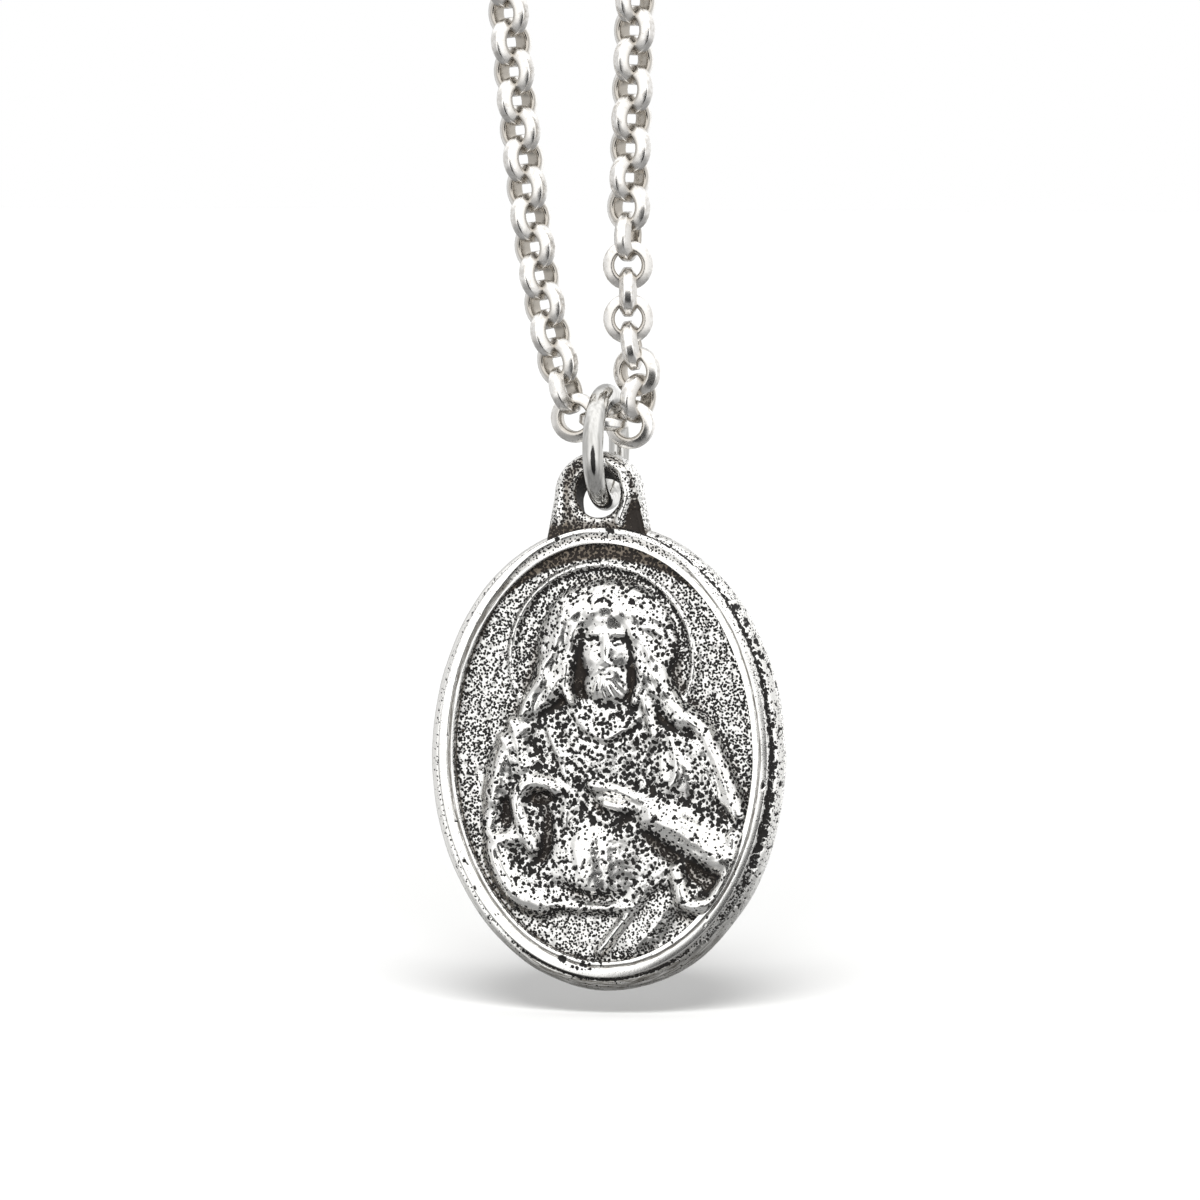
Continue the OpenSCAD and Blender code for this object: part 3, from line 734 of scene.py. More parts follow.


# Profile of the blank's rim walls, side and back, as cast.
# Columns: inset from the blank's or the rim's oval, depth, share of the rim's oval, polish, patina
# and painted shade
INNER_WALL = [
    (0.95, -0.60, 1, 0.0, 1.0),
    (0.80, -0.62, 1, 0.0, 1.0),
    (0.77, -0.74, 1, 0.2, 0.9),
    (0.76, -0.9, 1, 0.5, 0.5),
    (0.75, -1.04, 1, 1.0, 0.0),
    (0.745, -1.08, 1, 1.0, 0.0),
]
OUTER_WALL = [
    (0.00, -0.86, 1, 0.4, 0.4),
    (-0.03, -0.74, 0.9, 0.1, 0.8),
    (0.38, -0.72, 0.25, 0.2, 0.5),
    (0.34, -0.70, 0.1, 0.4, 0.3),
    (0.26, -0.62, 0, 0.7, 0.1),
    (0.14, -0.46, 0, 0.9, 0.0),
    (0.05, -0.24, 0, 0.9, 0.0),
    (0.00, 0.05, 0, 0.8, 0.1),
    (0.03, 0.35, 0, 0.8, 0.1),
    (0.14, 0.66, 0, 0.8, 0.1),
    (0.34, 0.94, 0, 0.9, 0.0),
    (0.60, 1.08, 0, 1.0, 0.0),
    (0.90, 1.10, 0, 0.9, 0.0),
    (1.25, 1.09, 0, 0.9, 0.0),
    (1.42, 1.02, 0, 0.6, 0.3),
    (1.52, 0.88, 0, 0.1, 0.9),
    (1.75, 0.85, 0, 0.3, 0.4),
]

# The rim's land, from its inner to its outer edge, and the back's field, which is pitted all over
LAND_ROWS = 20
LAND_INSETS = (0.73, 0.02)
LAND_MIDDLE = 0.36
LAND_Y = -1.10
LAND_CROWN = 0.04
BACK_ROWS = 22
BACK_INSETS = (2.0, 8.0)
BACK_POLISH = 0.5
BACK_RECESS = 0.1
BACK_COVER = 0.3
BLANK_AROUND = 880
BLANK_STEPS = 2

# Length of the oval's edge and of a row of its profile, for the streaks' map
EDGE_LENGTH = 63.0
ROW_LENGTH = 0.06

# Casting flaws on the rim and its step, from the medal's middle: across, up, size
SPOTS = [
    (-1.95, -9.7, 0.2), (7.55, 5.6, 0.2), (7.85, 5.4, 0.2), (7.7, 4.95, 0.13), (8.3, 4.5, 0.15),
    (6.4, 7.2, 0.15), (6.95, 6.5, 0.15), (0.35, 10.95, 0.16), (-2.25, 10.5, 0.12),
]

# A pitted patch at the rim's foot: across, up, half width, half height, turn
PATCH = (-0.9, -9.85, 1.0, 0.4, 0)


def blank_profile():
    """Rows of the blank's profile, and which make the rim's land and what lies outside it."""
    insets = np.linspace(*LAND_INSETS, LAND_ROWS)
    from_middle = (insets - LAND_MIDDLE) / LAND_MIDDLE
    crown = LAND_CROWN * from_middle ** 2 * np.where(from_middle > 0, 0.4, 1)
    ones = np.ones(LAND_ROWS)
    land = np.stack([insets, LAND_Y + crown, ones, ones, 0 * ones], -1)
    outer = smooth_way(OUTER_WALL, BLANK_STEPS)
    back = [(inset, OUTER_WALL[-1][1], 0, BACK_POLISH, BACK_RECESS)
            for inset in np.linspace(*BACK_INSETS, BACK_ROWS)]
    profile = np.vstack([INNER_WALL, land, outer, back])
    row = np.arange(len(profile)) - len(INNER_WALL)
    return profile, (row >= 0) & (row < LAND_ROWS), row >= LAND_ROWS


def blank_surface():
    """The blank's rows of points from the medal's middle, and what its material reads there."""
    profile, on_land, on_outside = blank_profile()
    inset, depth, on_rim, polish, patina_and_shade = profile.T[:, :, None]
    land = on_land[:, None].astype(float)
    outside = on_outside[:, None].astype(float)
    angle = np.linspace(0, 2 * math.pi, BLANK_AROUND, endpoint=False)
    c, s = np.cos(angle), np.sin(angle)
    x = (RIM_HALF[0] - inset) * c * on_rim + (BLANK_HALF[0] - inset) * c * (1 - on_rim)
    z = ((RIM_HALF[1] - inset) * s + RIM_LIFT) * on_rim + (BLANK_HALF[1] - inset) * s * (1 - on_rim)
    y = depth + 0 * c
    points = np.stack([x + MEDAL_X, y, z + MEDAL_Z], -1)
    wave = noise_at(points, *BLANK_WAVE)
    rough = noise_at(points, *BLANK_ROUGH)
    wander = noise_at(np.stack([4 * c, 0 * c, 4 * s], -1), *VALLEY_WANDER)

    # Parts of the way round: the right, the top, the upper half, the lower half and the foot
    right = soft(c, 0.1, 0.8)
    dark_side = soft(c * math.cos(0.5) + s * math.sin(0.5), 0.05, 0.7)
    top = soft(s, 0.72, 0.97)
    upper = soft(s, 0.35, 0.8)
    upper_left = soft(s, 0.3, 0.8) * soft(-c, 0.1, 0.5)
    lower = soft(-s, 0.5, 0.9)
    foot = soft(-s, 0.75, 0.95)

    # A shallow valley runs along the rim's land, wide and rough at the top
    valley_at = 0.53 - 0.13 * right - 0.12 * top + 0.04 * wander
    valley_half = 0.075 - 0.03 * right + 0.14 * top + 0.04 * upper_left * (1 + wander)
    valley = np.clip(1 - ((inset - valley_at) / valley_half) ** 2, 0, None) ** 0.7 * land
    polish = polish * (1 - 0.55 * valley * (0.6 + 0.4 * top))
    patina_and_shade = np.maximum(patina_and_shade, 0.7 * top * valley)

    # The step outside the rim is rough and dark on the right, smooth on the left
    side_wall = outside * soft(depth, -0.72, -0.5) * soft(depth, 1.05, 0.8)
    shoulder = outside * soft(depth, -0.5, -0.7)
    patina_and_shade = np.where(outside > 0, patina_and_shade * (0.35 + 0.65 * foot), patina_and_shade)
    patina_and_shade = np.maximum(patina_and_shade, 0.35 * side_wall * lower)
    polish = np.clip(polish + shoulder * (0.7 - 0.3 * dark_side) * 0.6, 0, 1)
    brushed = side_wall * (0.08 + 0.92 * lower) + shoulder * foot + 2 * valley * (1 - top)

    # Share that small round pits cover, with a dark line in the crevice between rim and step
    cover = 0.004 + 0.3 * valley * top + shoulder * (0.03 + 0.24 * dark_side + 0.25 * upper)
    cover = cover + (0.12 * dark_side + 0.02 * lower) * side_wall
    cover = cover + 0.45 * (1 - outside) * (1 - land)
    crevice = outside * soft(on_rim - 0.12 * foot, 0.02, 0.15) * soft(depth, -0.86, -0.78)
    cover = cover + crevice * (0.1 + 0.85 * foot + 0.6 * dark_side)
    cover = cover + BACK_COVER * outside * soft(inset, 1.4, 1.6)
    cover = cover + 0.1 * dark_side * land * soft(inset, 0.3, 0.0)
    cover = np.clip(cover, 0.002, 0.95)
    patch = soft(np.hypot(*turned(x, z, PATCH)), 1.1, 0.7) * land
    cover = np.maximum(cover, 0.3 * patch)

    # Large pits, and the flaws whose places are known
    large = 0.004 + (0.01 + 0.14 * dark_side) * (shoulder + 0.6 * side_wall)
    large = large + 0.03 * land * soft(wander, 0.1, 0.5)
    points[..., 1] += 0.05 * valley
    pit = pitted(points, np.clip(large, 0.003, 0.6), *BLANK_PITS)
    for across, up, size in SPOTS:
        flaw = 1 - np.hypot(x - across, z - up) / size + rough
        pit = np.maximum(pit, np.where(depth < -0.15, flaw, -1))

    # The casting's unevenness moves the side in and out, and the front up and down
    held = np.clip((depth + 1.2) / 0.3, 0, 1)
    sunk = soft(pit, -0.3, 0.7)
    moved = 0.05 * wave - 0.06 * sunk - 0.03 * np.abs(rough) * (1 - 0.7 * polish)
    points[..., 0] += moved * held * c
    points[..., 2] += moved * held * s
    points[..., 1] += 0.03 * wave + 0.035 * sunk * (land + 0.4 * shoulder)
    return points, {"polish": polish, "patina_and_shade": patina_and_shade, "pit": pit, "pit_radius": pit_radius(cover),
                    "brushed": brushed, "raised": patch + shoulder * (1 - crevice)}


def medal_blank():
    """The blank with its raised rim, from oval loops along one profile, a little uneven as cast."""
    surface, fields = blank_surface()
    rows = len(surface)
    flat = surface.reshape(-1, 3)
    faces = [(a, d, far, b) for a, b, far, d in grid_faces(rows, BLANK_AROUND, close_across=True)]
    front_middle, back_middle = len(flat), len(flat) + 1
    last = (rows - 1) * BLANK_AROUND
    for k in range(BLANK_AROUND):
        on = (k + 1) % BLANK_AROUND
        faces.append((front_middle, k, on))
        faces.append((back_middle, last + on, last + k))
    middles = [[MEDAL_X, surface[0, 0, 1], MEDAL_Z], [MEDAL_X, surface[-1, 0, 1], MEDAL_Z]]
    added = {"polish": [0, BACK_POLISH], "patina_and_shade": [1, BACK_RECESS], "pit": [-1, -1],
             "pit_radius": [0, pit_radius(BACK_COVER)], "brushed": [0, 0], "raised": [0, 0]}
    obj = mesh_object("medal_blank", np.vstack([flat, middles]), faces, "medal", CAST,
                      with_added(fields, added))
    around_map(obj.data, rows, BLANK_AROUND)
    return obj


def around_map(mesh, rows, around):
    """A map, in metres, that runs round the oval one way and over its profile the other way."""
    places = np.zeros(len(mesh.loops), np.int64)
    mesh.loops.foreach_get("vertex_index", places)
    starts = np.repeat([face.loop_start for face in mesh.polygons],
                       [face.loop_total for face in mesh.polygons])
    turn = places % around
    first = turn[starts]
    turn = np.where(turn - first > around / 2, turn - around, turn)
    turn = np.where(first - turn > around / 2, turn + around, turn)
    row = np.minimum(places // around, rows)
    layer = mesh.uv_layers.new(name="around")
    size = np.stack([turn * EDGE_LENGTH * MM / around, row * ROW_LENGTH * MM], -1)
    layer.data.foreach_set("uv", size.astype(np.float32).ravel())


# The bail, from the medal's middle: its round loop, its hole, which slants down to the back, and
# the half width and depth of its foot
BAIL_AT = (-0.4, 12.54)
BAIL_R = 2.15
BAIL_HALF_DEPTH = 0.85
BAIL_ROUNDING = 0.35
BAIL_AROUND = 320
HOLE_AT = (-0.3, 12.44)
HOLE_R = 1.12
HOLE_SLANT = math.radians(20)
BAIL_FOOT = (2.6, 2.5)

# The bail's section. Columns: share of the way from the hole to the outside, depth, polish, patina
# and painted shade
BAIL_FRONT = [
    (0.0, 0.0, 0.0, 1.0), (0.0, -0.5, 0.1, 0.8), (0.0, -0.72, 0.4, 0.4),
    (0.05, -0.81, 1.0, 0.0), (0.14, -0.87, 1.0, 0.0), (0.3, -0.85, 0.5, 0.2),
    (0.55, -0.83, 0.2, 0.2), (0.75, -0.82, 0.3, 0.1),
]
BAIL_BACK = [
    (0.75, 0.82, 0.4, 0.2), (0.55, 0.84, 0.4, 0.2), (0.3, 0.84, 0.5, 0.2), (0.12, 0.85, 0.9, 0.0),
    (0.0, 0.76, 0.5, 0.3), (0.0, 0.5, 0.1, 0.8),
]

# The bail's bright lip, and the dark flank below it: across, up, half width, half height, turn
BAIL_LIP = ((0.1, 14.25), (0.8, 13.8), (1.15, 12.9), (1.1, 12.3), (0.9, 11.7), (0.8, 11.3))
BAIL_FLANK = (1.55, 11.45, 0.75, 0.85, 0)


def bail_section():
    """Rows of the bail's closed section, with a side that is rounded from the front to the back."""
    turns = np.radians(np.linspace(-90, 90, 6))
    side = [(1.0, math.sin(turn) * BAIL_HALF_DEPTH * 0.98, 0.6, 0.1) for turn in turns]
    section = BAIL_FRONT + side + BAIL_BACK
    return smooth_way(section + section[:1], 4)[:-1]


def bail_reach(c, s):
    """Reach of the bail's outside from its middle: a round loop that widens to its foot below."""
    down = np.maximum(-s, 1e-6)
    slope = (BAIL_FOOT[0] - BAIL_R) / BAIL_FOOT[1]
    to_side = BAIL_R / np.maximum(np.abs(c) - slope * down, 1e-6)
    return np.where(s < 0, np.minimum(to_side, BAIL_FOOT[1] / down), BAIL_R)


def medal_bail():
    """The loop over the blank: one closed ring of metal whose hole slants down to the back."""
    share, depth, polish, patina_and_shade = bail_section().T[:, None, :]
    share = np.clip(share, 0, 1)
    angle = 2 * math.pi * np.arange(BAIL_AROUND)[:, None] / BAIL_AROUND
    c, s = np.cos(angle), np.sin(angle)
    reach = bail_reach(c, s)
    hole_x = HOLE_AT[0] + HOLE_R * c
    hole_z = HOLE_AT[1] + HOLE_R / math.cos(HOLE_SLANT) * s - depth * math.tan(HOLE_SLANT)
    pull = BAIL_ROUNDING * np.maximum(0, share - 0.7) / 0.3 * (np.abs(depth) / BAIL_HALF_DEPTH) ** 4
    x = hole_x + (BAIL_AT[0] + reach * c - hole_x) * share - pull * c
    z = hole_z + (BAIL_AT[1] + reach * s - hole_z) * share - pull * s
    points = np.stack([x + MEDAL_X, depth + 0 * x, z + MEDAL_Z], -1)
    on_face = depth < -0.6
    rough = noise_at(points, *BAIL_ROUGH)

    # A bright lip curls round the hole on the right; the flank below it is deep and dark
    lip = beside_way(x, z, smooth_way(BAIL_LIP, 8))[0] + 0.05 * noise_at(points, *LIP_WANDER)
    lip = np.clip(1 - (lip / 0.24) ** 2, 0, 1) * on_face
    broken = 1 + 0.35 * noise_at(points, *FLANK_BREAK)
    flank = soft(np.hypot(*turned(x, z, BAIL_FLANK)) * broken, 1.2, 0.5) * on_face * (1 - lip)
    # The bail's left takes more polish and less patina, so fewer pits, as a painted highlight
    left = soft(-x, 1.85, 2.25) * soft(z, 11.0, 12.0)
    right_side = ~on_face * soft(x, 1.2, 1.7)
    # The hole's wall: brown patina, deepened into near-black with dense pits as painted shade
    from_hole = np.hypot(x - HOLE_AT[0], z - HOLE_AT[1] + depth * math.tan(HOLE_SLANT))
    shaded_hole_wall = ~on_face * soft(from_hole, HOLE_R + 0.35, HOLE_R + 0.15)
    foot = soft(z, 11.3, 10.7) * soft(np.abs(x + 0.3), 0.9, 1.8)
    points[..., 1] += -0.16 * lip + 0.18 * flank
    polish = np.clip(polish + lip + 0.5 * left - 0.8 * flank - shaded_hole_wall, 0, 1)
    dull = on_face * (1 - 0.7 * left)
    patina_and_shade = patina_and_shade + 0.64 * dull * (1 + 0.3 * rough) + 0.9 * flank
    patina_and_shade = patina_and_shade + 0.35 * right_side + shaded_hole_wall + 0.6 * foot
    patina_and_shade = np.clip(patina_and_shade, 0, 1) * (1 - lip)
    cover = 0.4 * (1 - 0.7 * polish) + 0.27 * dull + 0.25 * flank + 0.15 * right_side + 0.2 * foot
    cover = np.where(on_face, cover * (1 - 0.7 * lip), 0.6 * cover)
    cover = np.clip(cover + 0.8 * shaded_hole_wall, 0.01, 0.95)
    pit = pitted(points, 0.004 + 0.15 * flank, *BAIL_PITS)

    # The casting's roughness and pits only go inwards, so that the links keep their room
    out = points - (BAIL_AT[0] + MEDAL_X, 0, BAIL_AT[1] + MEDAL_Z)
    out /= np.linalg.norm(out, axis=-1, keepdims=True)
    sunk = 0.04 * np.abs(rough) * (1 - 0.8 * polish) + 0.04 * soft(pit, -0.3, 0.7)
    points -= out * sunk[..., None]
    faces = grid_faces(*points.shape[:2], close_rows=True, close_across=True)
    return mesh_object("medal_bail", points.reshape(-1, 3), faces, "medal", CAST, {
        "polish": polish, "patina_and_shade": patina_and_shade, "pit": pit, "pit_radius": pit_radius(cover)})


for piece in (medal_relief(), medal_blank(), medal_bail()):
    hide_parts("medal")


# The jump ring, the chain and the clasp

def wire_ring(radius, wire, around, sides, place):
    """Points and faces of a closed ring of round wire with its axis along Z, moved by a matrix."""
    points = []
    for k in range(around):
        a = 2 * math.pi * k / around
        for j in range(sides):
            b = 2 * math.pi * j / sides
            out = radius + wire / 2 * math.cos(b)
            local = Vector((out * math.cos(a), out * math.sin(a), wire / 2 * math.sin(b)))
            points.append(place @ local)
    return np.array(points), outwards(grid_faces(around, sides, close_rows=True, close_across=True))


def outwards(faces):
    """The same faces seen from the other side."""
    return [tuple(reversed(face)) for face in faces]


def turned_by(degrees, axis):
    """A turn about an axis, as a matrix."""
    return Matrix.Rotation(math.radians(degrees), 4, axis)


ring_place = Matrix.Translation((RING_X, 0, RING_Z)) @ turned_by(90, "Y")
ring_points, ring_faces = wire_ring(RING_R, RING_WIRE, 128, 40, ring_place)
jump_ring = mesh_object("jump_ring_wire", ring_points, ring_faces, "ring", RING_SILVER)
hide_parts("jump_ring")


# Turn of the wire's section that puts its flat side inside the link
SECTION_TURN = math.radians(-90)

# How far inside the wire's middle a link's painted shade starts and ends, and the inputs of its tree
INNER_FROM = -0.05
INNER_TO = 0.2
LINK_SIZES = {"Link Radius": LINK_R, "Wire Thick": LINK_WIRE, "Inside Width": LINK_INSIDE,
              "Outside Width": LINK_OUTSIDE, "Corner Radius": LINK_CORNER}


def link_tree():
    """Geometry Nodes that put a wire link on each point, turned as the point says."""
    tree = bpy.data.node_groups.new("links_on_points", "GeometryNodeTree")
    sockets = {}
    kinds = {"Geometry": "NodeSocketGeometry", **dict.fromkeys(LINK_SIZES, "NodeSocketFloat"),
             "Steps Around": "NodeSocketInt", "Steps Of Corner": "NodeSocketInt",
             "Finish": "NodeSocketMaterial"}
    for name, kind in kinds.items():
        sockets[name] = tree.interface.new_socket(name, in_out="INPUT", socket_type=kind).identifier
    tree.interface.new_socket("Geometry", in_out="OUTPUT", socket_type="NodeSocketGeometry")
    add = partial(add_node, tree)
    given = add("NodeGroupInput").outputs

    # One link: a band with rounded corners, swept round a circle
    way = add("GeometryNodeCurvePrimitiveCircle", {
        "Resolution": given["Steps Around"], "Radius": given["Link Radius"]})
    section = add("GeometryNodeCurvePrimitiveQuadrilateral", {
        "Bottom Width": given["Inside Width"], "Top Width": given["Outside Width"],
        "Height": given["Wire Thick"], "Offset": 0.0}, mode="TRAPEZOID")
    rounded = add("GeometryNodeFilletCurve", {
        0: section, "Radius": given["Corner Radius"], "Count": given["Steps Of Corner"],
    }, mode="POLY")
    upright = add("GeometryNodeTransform", {
        0: rounded, "Rotation": Euler((0, 0, SECTION_TURN))})
    link = add("GeometryNodeCurveToMesh", {0: way, 1: upright})

    # How far a point lies inside the link, for the painted shade on its inner side
    position = add("GeometryNodeInputPosition")
    flat = add("ShaderNodeVectorMath", {
        0: position, 1: (1.0, 1.0, 0.0)}, operation="MULTIPLY")
    reach = add("ShaderNodeVectorMath", {0: flat}, operation="LENGTH").outputs["Value"]
    inward = add("ShaderNodeMath", {
        0: given["Link Radius"], 1: reach}, operation="SUBTRACT")
    inner = add("ShaderNodeMapRange", {
        "Value": inward, "From Min": INNER_FROM * MM, "From Max": INNER_TO * MM})
    marked = add("GeometryNodeStoreNamedAttribute", {
        0: link, "Name": "inner", "Value": inner}, data_type="FLOAT", domain="POINT")
    smooth = add("GeometryNodeSetShadeSmooth", {0: marked})

    turn = add("GeometryNodeInputNamedAttribute", {0: "turn"}, data_type="FLOAT_VECTOR")
    rotation = add("FunctionNodeEulerToRotation", {0: turn})
    links = add("GeometryNodeInstanceOnPoints", {
        "Points": given["Geometry"], "Instance": smooth, "Rotation": rotation})
    real = add("GeometryNodeRealizeInstances", {0: links})
    finished = add("GeometryNodeSetMaterial", {0: real, "Material": given["Finish"]})
    add("NodeGroupOutput", {0: finished})
    return tree, sockets


LINK_TREE, LINK_SOCKETS = link_tree()


def chain_piece(name, links, node, around, steps):
    """A stretch of chain as one plain mesh, from each link's place in millimetres and its turn."""
    mesh = bpy.data.meshes.new(name)
    mesh.from_pydata([tuple(np.array(place) * MM) for place, turn in links], [], [])
    layer = mesh.attributes.new("turn", "FLOAT_VECTOR", "POINT")
    layer.data.foreach_set("vector", [a for place, turn in links for a in turn])
    obj = add_object(name, mesh)
    modifier = obj.modifiers.new("links", "NODES")
    modifier.node_group = LINK_TREE
    sizes = {key: size * MM for key, size in LINK_SIZES.items()}
    sizes.update({"Steps Around": around, "Steps Of Corner": steps, "Finish": CHAIN_SILVER})
    for key, value in sizes.items():
        modifier[LINK_SOCKETS[key]] = value
    obj.update_tag()
    graph = bpy.context.evaluated_depsgraph_get()
    made = bpy.data.meshes.new_from_object(obj.evaluated_get(graph))
    obj.modifiers.clear()
    obj.data = made
    made.name = name
    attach(obj, "chain")
    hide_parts(node)


# Lean of each strand from upright, in degrees: side, far lean, slow part and the links it lasts,
# fast part and the links it lasts
LEFT_LEAN = (-1, 3.6, 2, 30, 14.4, 4)
RIGHT_LEAN = (1, 3.6, -2.4, 30, 0, 4)

# The lowest steps of the right strand, whose links lie slack: lean from upright, distance
SLACK = [(18, 1.3), (-3, 1.28), (-12, 1.27), (-7, 1.3), (-1, 1.28), (0, 1.29), (0, 1.37)]

# Turn of the lowest links beyond a quarter turn each
LEFT_TWIST = [0, -15, -30, -30, -30, -30, -30, -30, -30]
RIGHT_TWIST = [-1, -23, -13, 8, 15, 14, 15, -5, -25]

# The middle link in the ring's top, and how far the right strand's lowest link lies from it
MIDDLE = np.array([RING_X - 0.1, 0, RING_Z + 1.26])
MIDDLE_TILT = 6.0
SLACK_PITCH = 1.3

# The top of the loop: across, up
TOP_HALF = [
    (-14.5, -39.2), (-14.9, -33.4), (-15.2, -27.6), (-15.6, -21.8), (-16.0, -16.0),
    (-15.5, -10.7), (-13.3, -5.9), (-9.6, -2.0), (-5.1, 0.4),
]
ROUTE = [
    (-12.6, -69.4), (-13.0, -63.0), (-13.4, -56.6), (-13.8, -50.8), (-14.1, -45.0),
    *TOP_HALF, (0, 1.2), *[(-across, up) for across, up in reversed(TOP_HALF)],
    (14.0, -45.0), (13.5, -50.8), (12.9, -57.0),
]


def strand(lean, start, first_steps):
    """Centres of a strand's links, walked up from the lowest, with steps of their own at first."""
    side, far, slow, slow_links, fast, fast_links = lean
    points = [np.array(start, float)]
    for k in range(STRAND_LINKS - 1):
        turn = far + slow * math.exp(-k / slow_links) + fast * math.exp(-k / fast_links)
        step = LINK_PITCH
        if k < len(first_steps):
            turn, step = first_steps[k]
        a = math.radians(turn)
        points.append(points[-1] + step * np.array([side * math.sin(a), 0, math.cos(a)]))
    return points


def way_at(points, k):
    """Direction of a strand at one of its links."""
    way = points[min(k + 1, len(points) - 1)] - points[max(k - 1, 0)]
    return way / np.linalg.norm(way)


def link_turn(way, twist):
    """Turn of a link that lies along a way, twisted about it."""
    lean = Matrix.Rotation(math.atan2(way[0], way[2]), 4, "Y")
    return lean @ turned_by(twist, "Z") @ turned_by(90, "X")


def strand_links(points, twists):
    """Places and turns of a strand's links, each a quarter turn on, with twists for the lowest."""
    links = []
    for k, place in enumerate(points):
        own = twists[k] if k < len(twists) else FAR_TWIST
        links.append((place, link_turn(way_at(points, k), own + 90 * (k % 2)).to_euler()))
    return links


tilt = math.radians(MIDDLE_TILT)
middle_way = np.array([math.cos(tilt), 0, -math.sin(tilt)])
left_points = strand(LEFT_LEAN, MIDDLE - LINK_PITCH * middle_way, [])
right_points = strand(RIGHT_LEAN, MIDDLE + SLACK_PITCH * middle_way, SLACK)
middle_link = (MIDDLE, Euler((0, tilt, 0)))
left_links = [middle_link] + strand_links(left_points, LEFT_TWIST)
right_links = strand_links(right_points, RIGHT_TWIST)
chain_piece("chain_left_links", left_links, "chain_left", 30, 3)
chain_piece("chain_right_links", right_links, "chain_right", 30, 3)

# The clasp sits on the right strand's last link
CLASP_WAY = way_at(right_points, STRAND_LINKS - 1)
CLASP_TURN = FAR_TWIST + 90 * (STRAND_LINKS % 2)
EYE_UP = PART_LINK_R + EYE_R - (PART_LINK_WIRE + EYE_WIRE) / 2 - EYE_SLACK
CLASP_UP = EYE_UP + CLASP_R + CLASP_WIRE / 2 + EYE_REACH
clasp_place = Matrix.Translation(right_points[-1]) @ link_turn(CLASP_WAY, CLASP_TURN)
clasp_middle = np.array(clasp_place @ Vector((0, CLASP_UP, 0)))

# The clasp's knob: its turn round the clasp, and its outline by radius and height
KNOB_TURN = 35
KNOB_SIDES = 20
KNOB = ((0.4, 0.0), (0.4, 0.72), (0.36, 0.84), (0.26, 0.9), (0.02, 0.9))


def back_links():
    """Links over the top of the loop, evenly spaced, from the left strand's last to the clasp."""
    top = clasp_middle + CLASP_WAY * (CLASP_R - CLASP_WIRE / 2 + LINK_R - LINK_WIRE / 2)
    top = top - CLASP_WAY * LAST_LINK_SLACK
    through = [tuple(left_points[-1][[0, 2]])] + ROUTE + [tuple(top[[0, 2]])]
    fine = smooth_way(through, 40)
    run = np.concatenate([[0], np.cumsum(np.linalg.norm(np.diff(fine, axis=0), axis=1))])
    count = round(run[-1] / LINK_PITCH)
    at = np.linspace(0, run[-1], count + 1)
    places = np.stack([np.interp(at, run, fine[:, 0]), 0 * at, np.interp(at, run, fine[:, 1])], -1)

    # An extra twist, spread over the links, brings the last one square to the clasp
    last_turn = FAR_TWIST + 90 * (STRAND_LINKS + count - 1)
    wanted = -(CLASP_TURN + 90)
    extra = (wanted - last_turn + 90) % 180 - 90
    links = []
    for k in range(1, count + 1):
        twist = FAR_TWIST + 90 * (STRAND_LINKS + k - 1) + extra * k / count
        links.append((places[k], link_turn(way_at(places, k), twist).to_euler()))
    return links


chain_piece("chain_back_links", back_links(), "chain_back", 24, 2)


def clasp_ring():
    """The clasp: a closed ring of round wire with an eye for the chain and a small knob."""
    eye_place = clasp_place @ Matrix.Translation((0, EYE_UP, 0))
    eye, eye_faces = wire_ring(EYE_R, EYE_WIRE, 40, 14, eye_place)
    big_place = clasp_place @ Matrix.Translation((0, CLASP_UP, 0))
    big, big_faces = wire_ring(CLASP_R, CLASP_WIRE, 72, 24, big_place)
    knob_place = (big_place @ turned_by(KNOB_TURN, "Z") @ Matrix.Translation((CLASP_R, 0, 0))
                  @ turned_by(90, "Y"))
    knob = []
    for radius, up in KNOB:
        for k in range(KNOB_SIDES):
            a = 2 * math.pi * k / KNOB_SIDES
            knob.append(knob_place @ Vector((radius * math.cos(a), radius * math.sin(a), up)))
    first = len(eye) + len(big)
    top = first + (len(KNOB) - 1) * KNOB_SIDES
    faces = eye_faces + [tuple(len(eye) + i for i in face) for face in big_faces]
    faces += grid_faces(len(KNOB), KNOB_SIDES, close_across=True, start=first)
    faces.append(tuple(first + k for k in range(KNOB_SIDES - 1, -1, -1)))
    faces.append(tuple(top + k for k in range(KNOB_SIDES)))
    points = np.vstack([eye, big, np.array(knob)])
    return mesh_object("clasp_ring", points, faces, "chain", CHAIN_SILVER)


clasp = clasp_ring()
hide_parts("clasp")


# Stage, light and camera

TARGET = Vector((2.2, 0, -246.54)) * MM
AZIMUTH = 14.5
ELEVATION = 2.5
DISTANCE = 0.6
FRAME_WIDTH = 0.0576
SENSOR = 36.0
FLOOR_Z = (MEDAL_Z - BLANK_HALF[1] - 1.2) * MM
FLOOR_HALF = 3.0

# The one lamp: its turn from the front to the right, its height and its spread, in degrees
LAMP_SIDE = 13.5
LAMP_UP = 28
LAMP_SPREAD = 20
LAMP_STRENGTH = 4.05

# Tones of the studio that the metal mirrors, all multiplied: a way, from and to which share of
# facing it the tone turns, and the tone before and after. In turn: the grey wing on the left, the
# bright middle up to the wing on the right, the grey back wall, the dim floor, the dark opening
# under the camera, and the bright panel at the back on the right
WING_WAY = (0.97, 0.24, 0.0)
STUDIO = [
    (WING_WAY, -0.96, -0.6, 0.53, 1.0),
    (WING_WAY, 0.6, 0.96, 1.5, 0.95),
    ((-0.24, 0.97, 0.0), 0.3, 0.95, 1.0, 0.42),
    ((0.0, 0.0, 1.0), -0.7, -0.2, 0.25, 1.0),
    ((0.235, -0.895, -0.38), 0.87, 0.92, 1.0, 0.06),
    ((0.2, 0.97, 0.1), 0.9, 0.98, 1.0, 1.9),
]

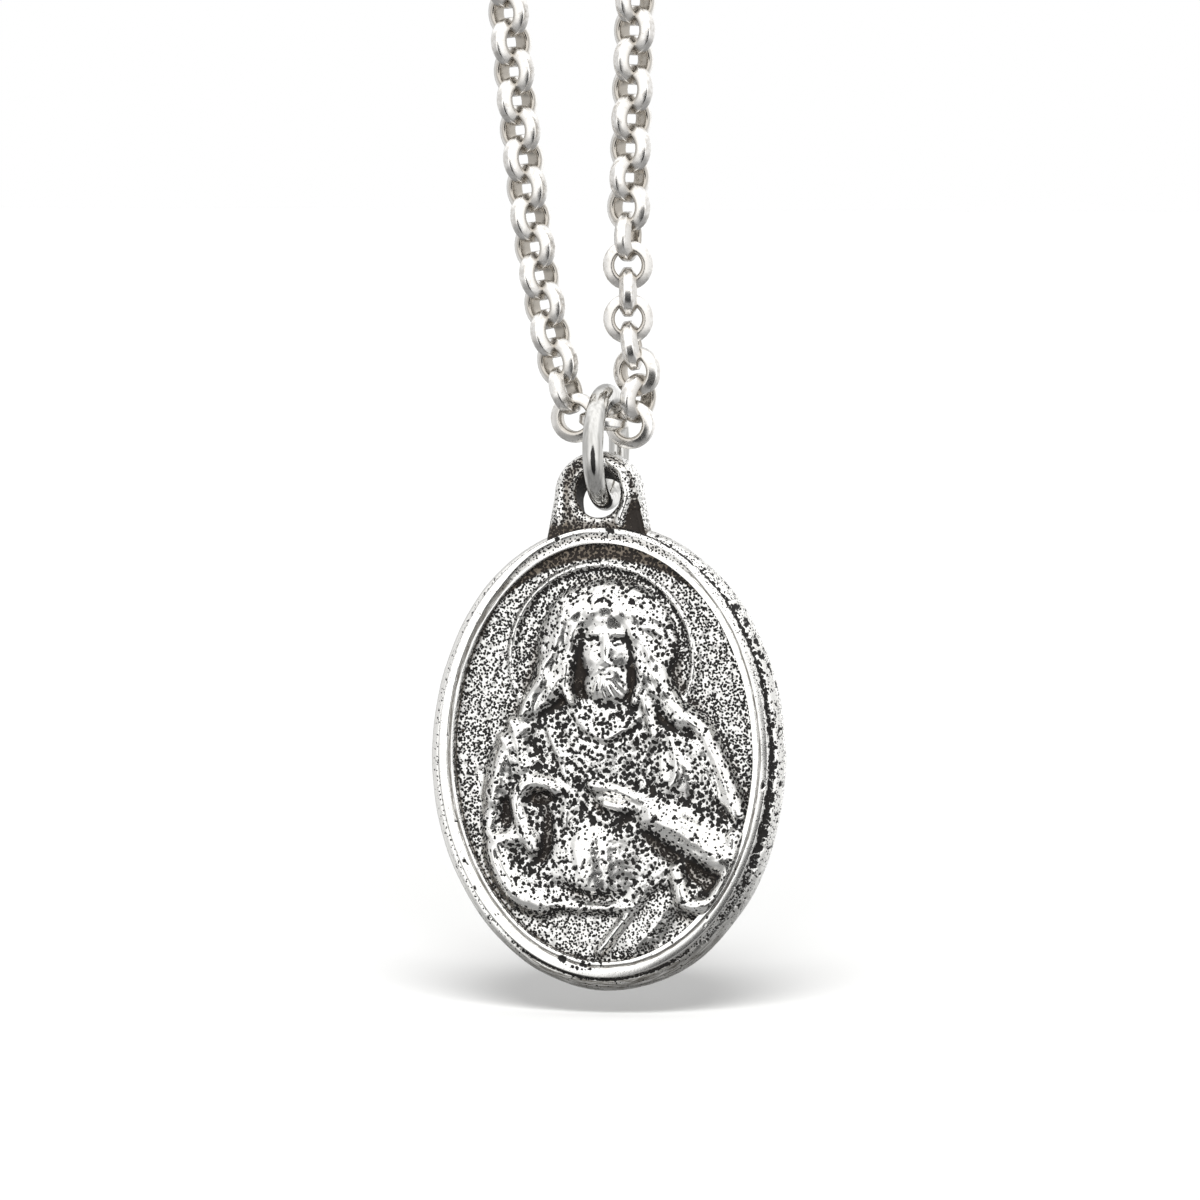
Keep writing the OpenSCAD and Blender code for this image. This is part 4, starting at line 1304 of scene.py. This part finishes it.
# The studio's strength where it lights matt surfaces, and where the camera sees it
LIT = 0.5
SEEN = 1.0


def way_to(side, up):
    """Direction to a place by its turn from the front to the right and its height, in degrees."""
    t, h = math.radians(side), math.radians(up)
    return Vector((math.sin(t) * math.cos(h), -math.cos(t) * math.cos(h), math.sin(h)))


def stage():
    """A floor of matt white paper, even and without gloss, that doesn't show in the metal."""
    material, add = new_material("matt_white_paper")
    shader = add("ShaderNodeBsdfPrincipled", {
        "Base Color": linear("#f9f9f8"), "Roughness": 0.95})
    add("ShaderNodeOutputMaterial", {"Surface": shader})
    floor = bpy.data.meshes.new("floor")
    corners = [(-1, -1), (1, -1), (1, 1), (-1, 1)]
    floor.from_pydata([(x * FLOOR_HALF, y * FLOOR_HALF, FLOOR_Z) for x, y in corners], [],
                      [(0, 1, 2, 3)])
    floor.materials.append(material)
    obj = add_object("floor", floor)
    obj.visible_glossy = False


def lamp():
    """A far soft lamp in front, which doesn't show in the metal."""
    light = bpy.data.lights.new("front", "SUN")
    light.angle = math.radians(LAMP_SPREAD)
    light.energy = LAMP_STRENGTH
    obj = add_object("front", light)
    obj.rotation_euler = way_to(LAMP_SIDE, LAMP_UP).to_track_quat("Z", "Y").to_euler()
    obj.visible_glossy = False


def studio():
    """White walls and ceiling for the metal to mirror, with grey wings and a dim floor."""
    world = bpy.data.worlds.new("studio")
    world.use_nodes = True
    world.node_tree.nodes.clear()
    add = partial(add_node, world.node_tree)
    way = add("ShaderNodeTexCoord").outputs["Generated"]
    mirrored = 1.0
    for toward, low, high, before, after in STUDIO:
        facing = add("ShaderNodeVectorMath", {0: way, 1: toward}, operation="DOT_PRODUCT")
        tone = add("ShaderNodeMapRange", {
            "Value": facing.outputs["Value"], "From Min": low, "From Max": high, "To Min": before,
            "To Max": after}, interpolation_type="SMOOTHSTEP")
        mirrored = add("ShaderNodeMath", {0: tone, 1: mirrored}, operation="MULTIPLY")
    rays = add("ShaderNodeLightPath").outputs
    lit = add("ShaderNodeMix", {0: rays["Is Glossy Ray"], 2: LIT, 3: mirrored})
    seen = add("ShaderNodeMix", {0: rays["Is Camera Ray"], 2: lit, 3: SEEN})
    back = add("ShaderNodeBackground", {"Color": linear("#ffffff"), "Strength": seen})
    add("ShaderNodeOutputWorld", {"Surface": back})
    bpy.context.scene.world = world


def camera():
    """The photograph's camera: a little from the right and above, on the medal and its chain."""
    lens = bpy.data.cameras.new("camera")
    lens.sensor_width = SENSOR
    lens.lens = SENSOR * DISTANCE / FRAME_WIDTH
    lens.clip_start = 0.01
    lens.clip_end = 20
    obj = add_object("camera", lens)
    back = way_to(AZIMUTH, ELEVATION)
    obj.location = TARGET + back * DISTANCE
    obj.rotation_euler = (-back).to_track_quat("-Z", "Y").to_euler()
    bpy.context.scene.camera = obj


stage()
studio()
lamp()
camera()
bpy.context.scene.view_settings.view_transform = "Standard"
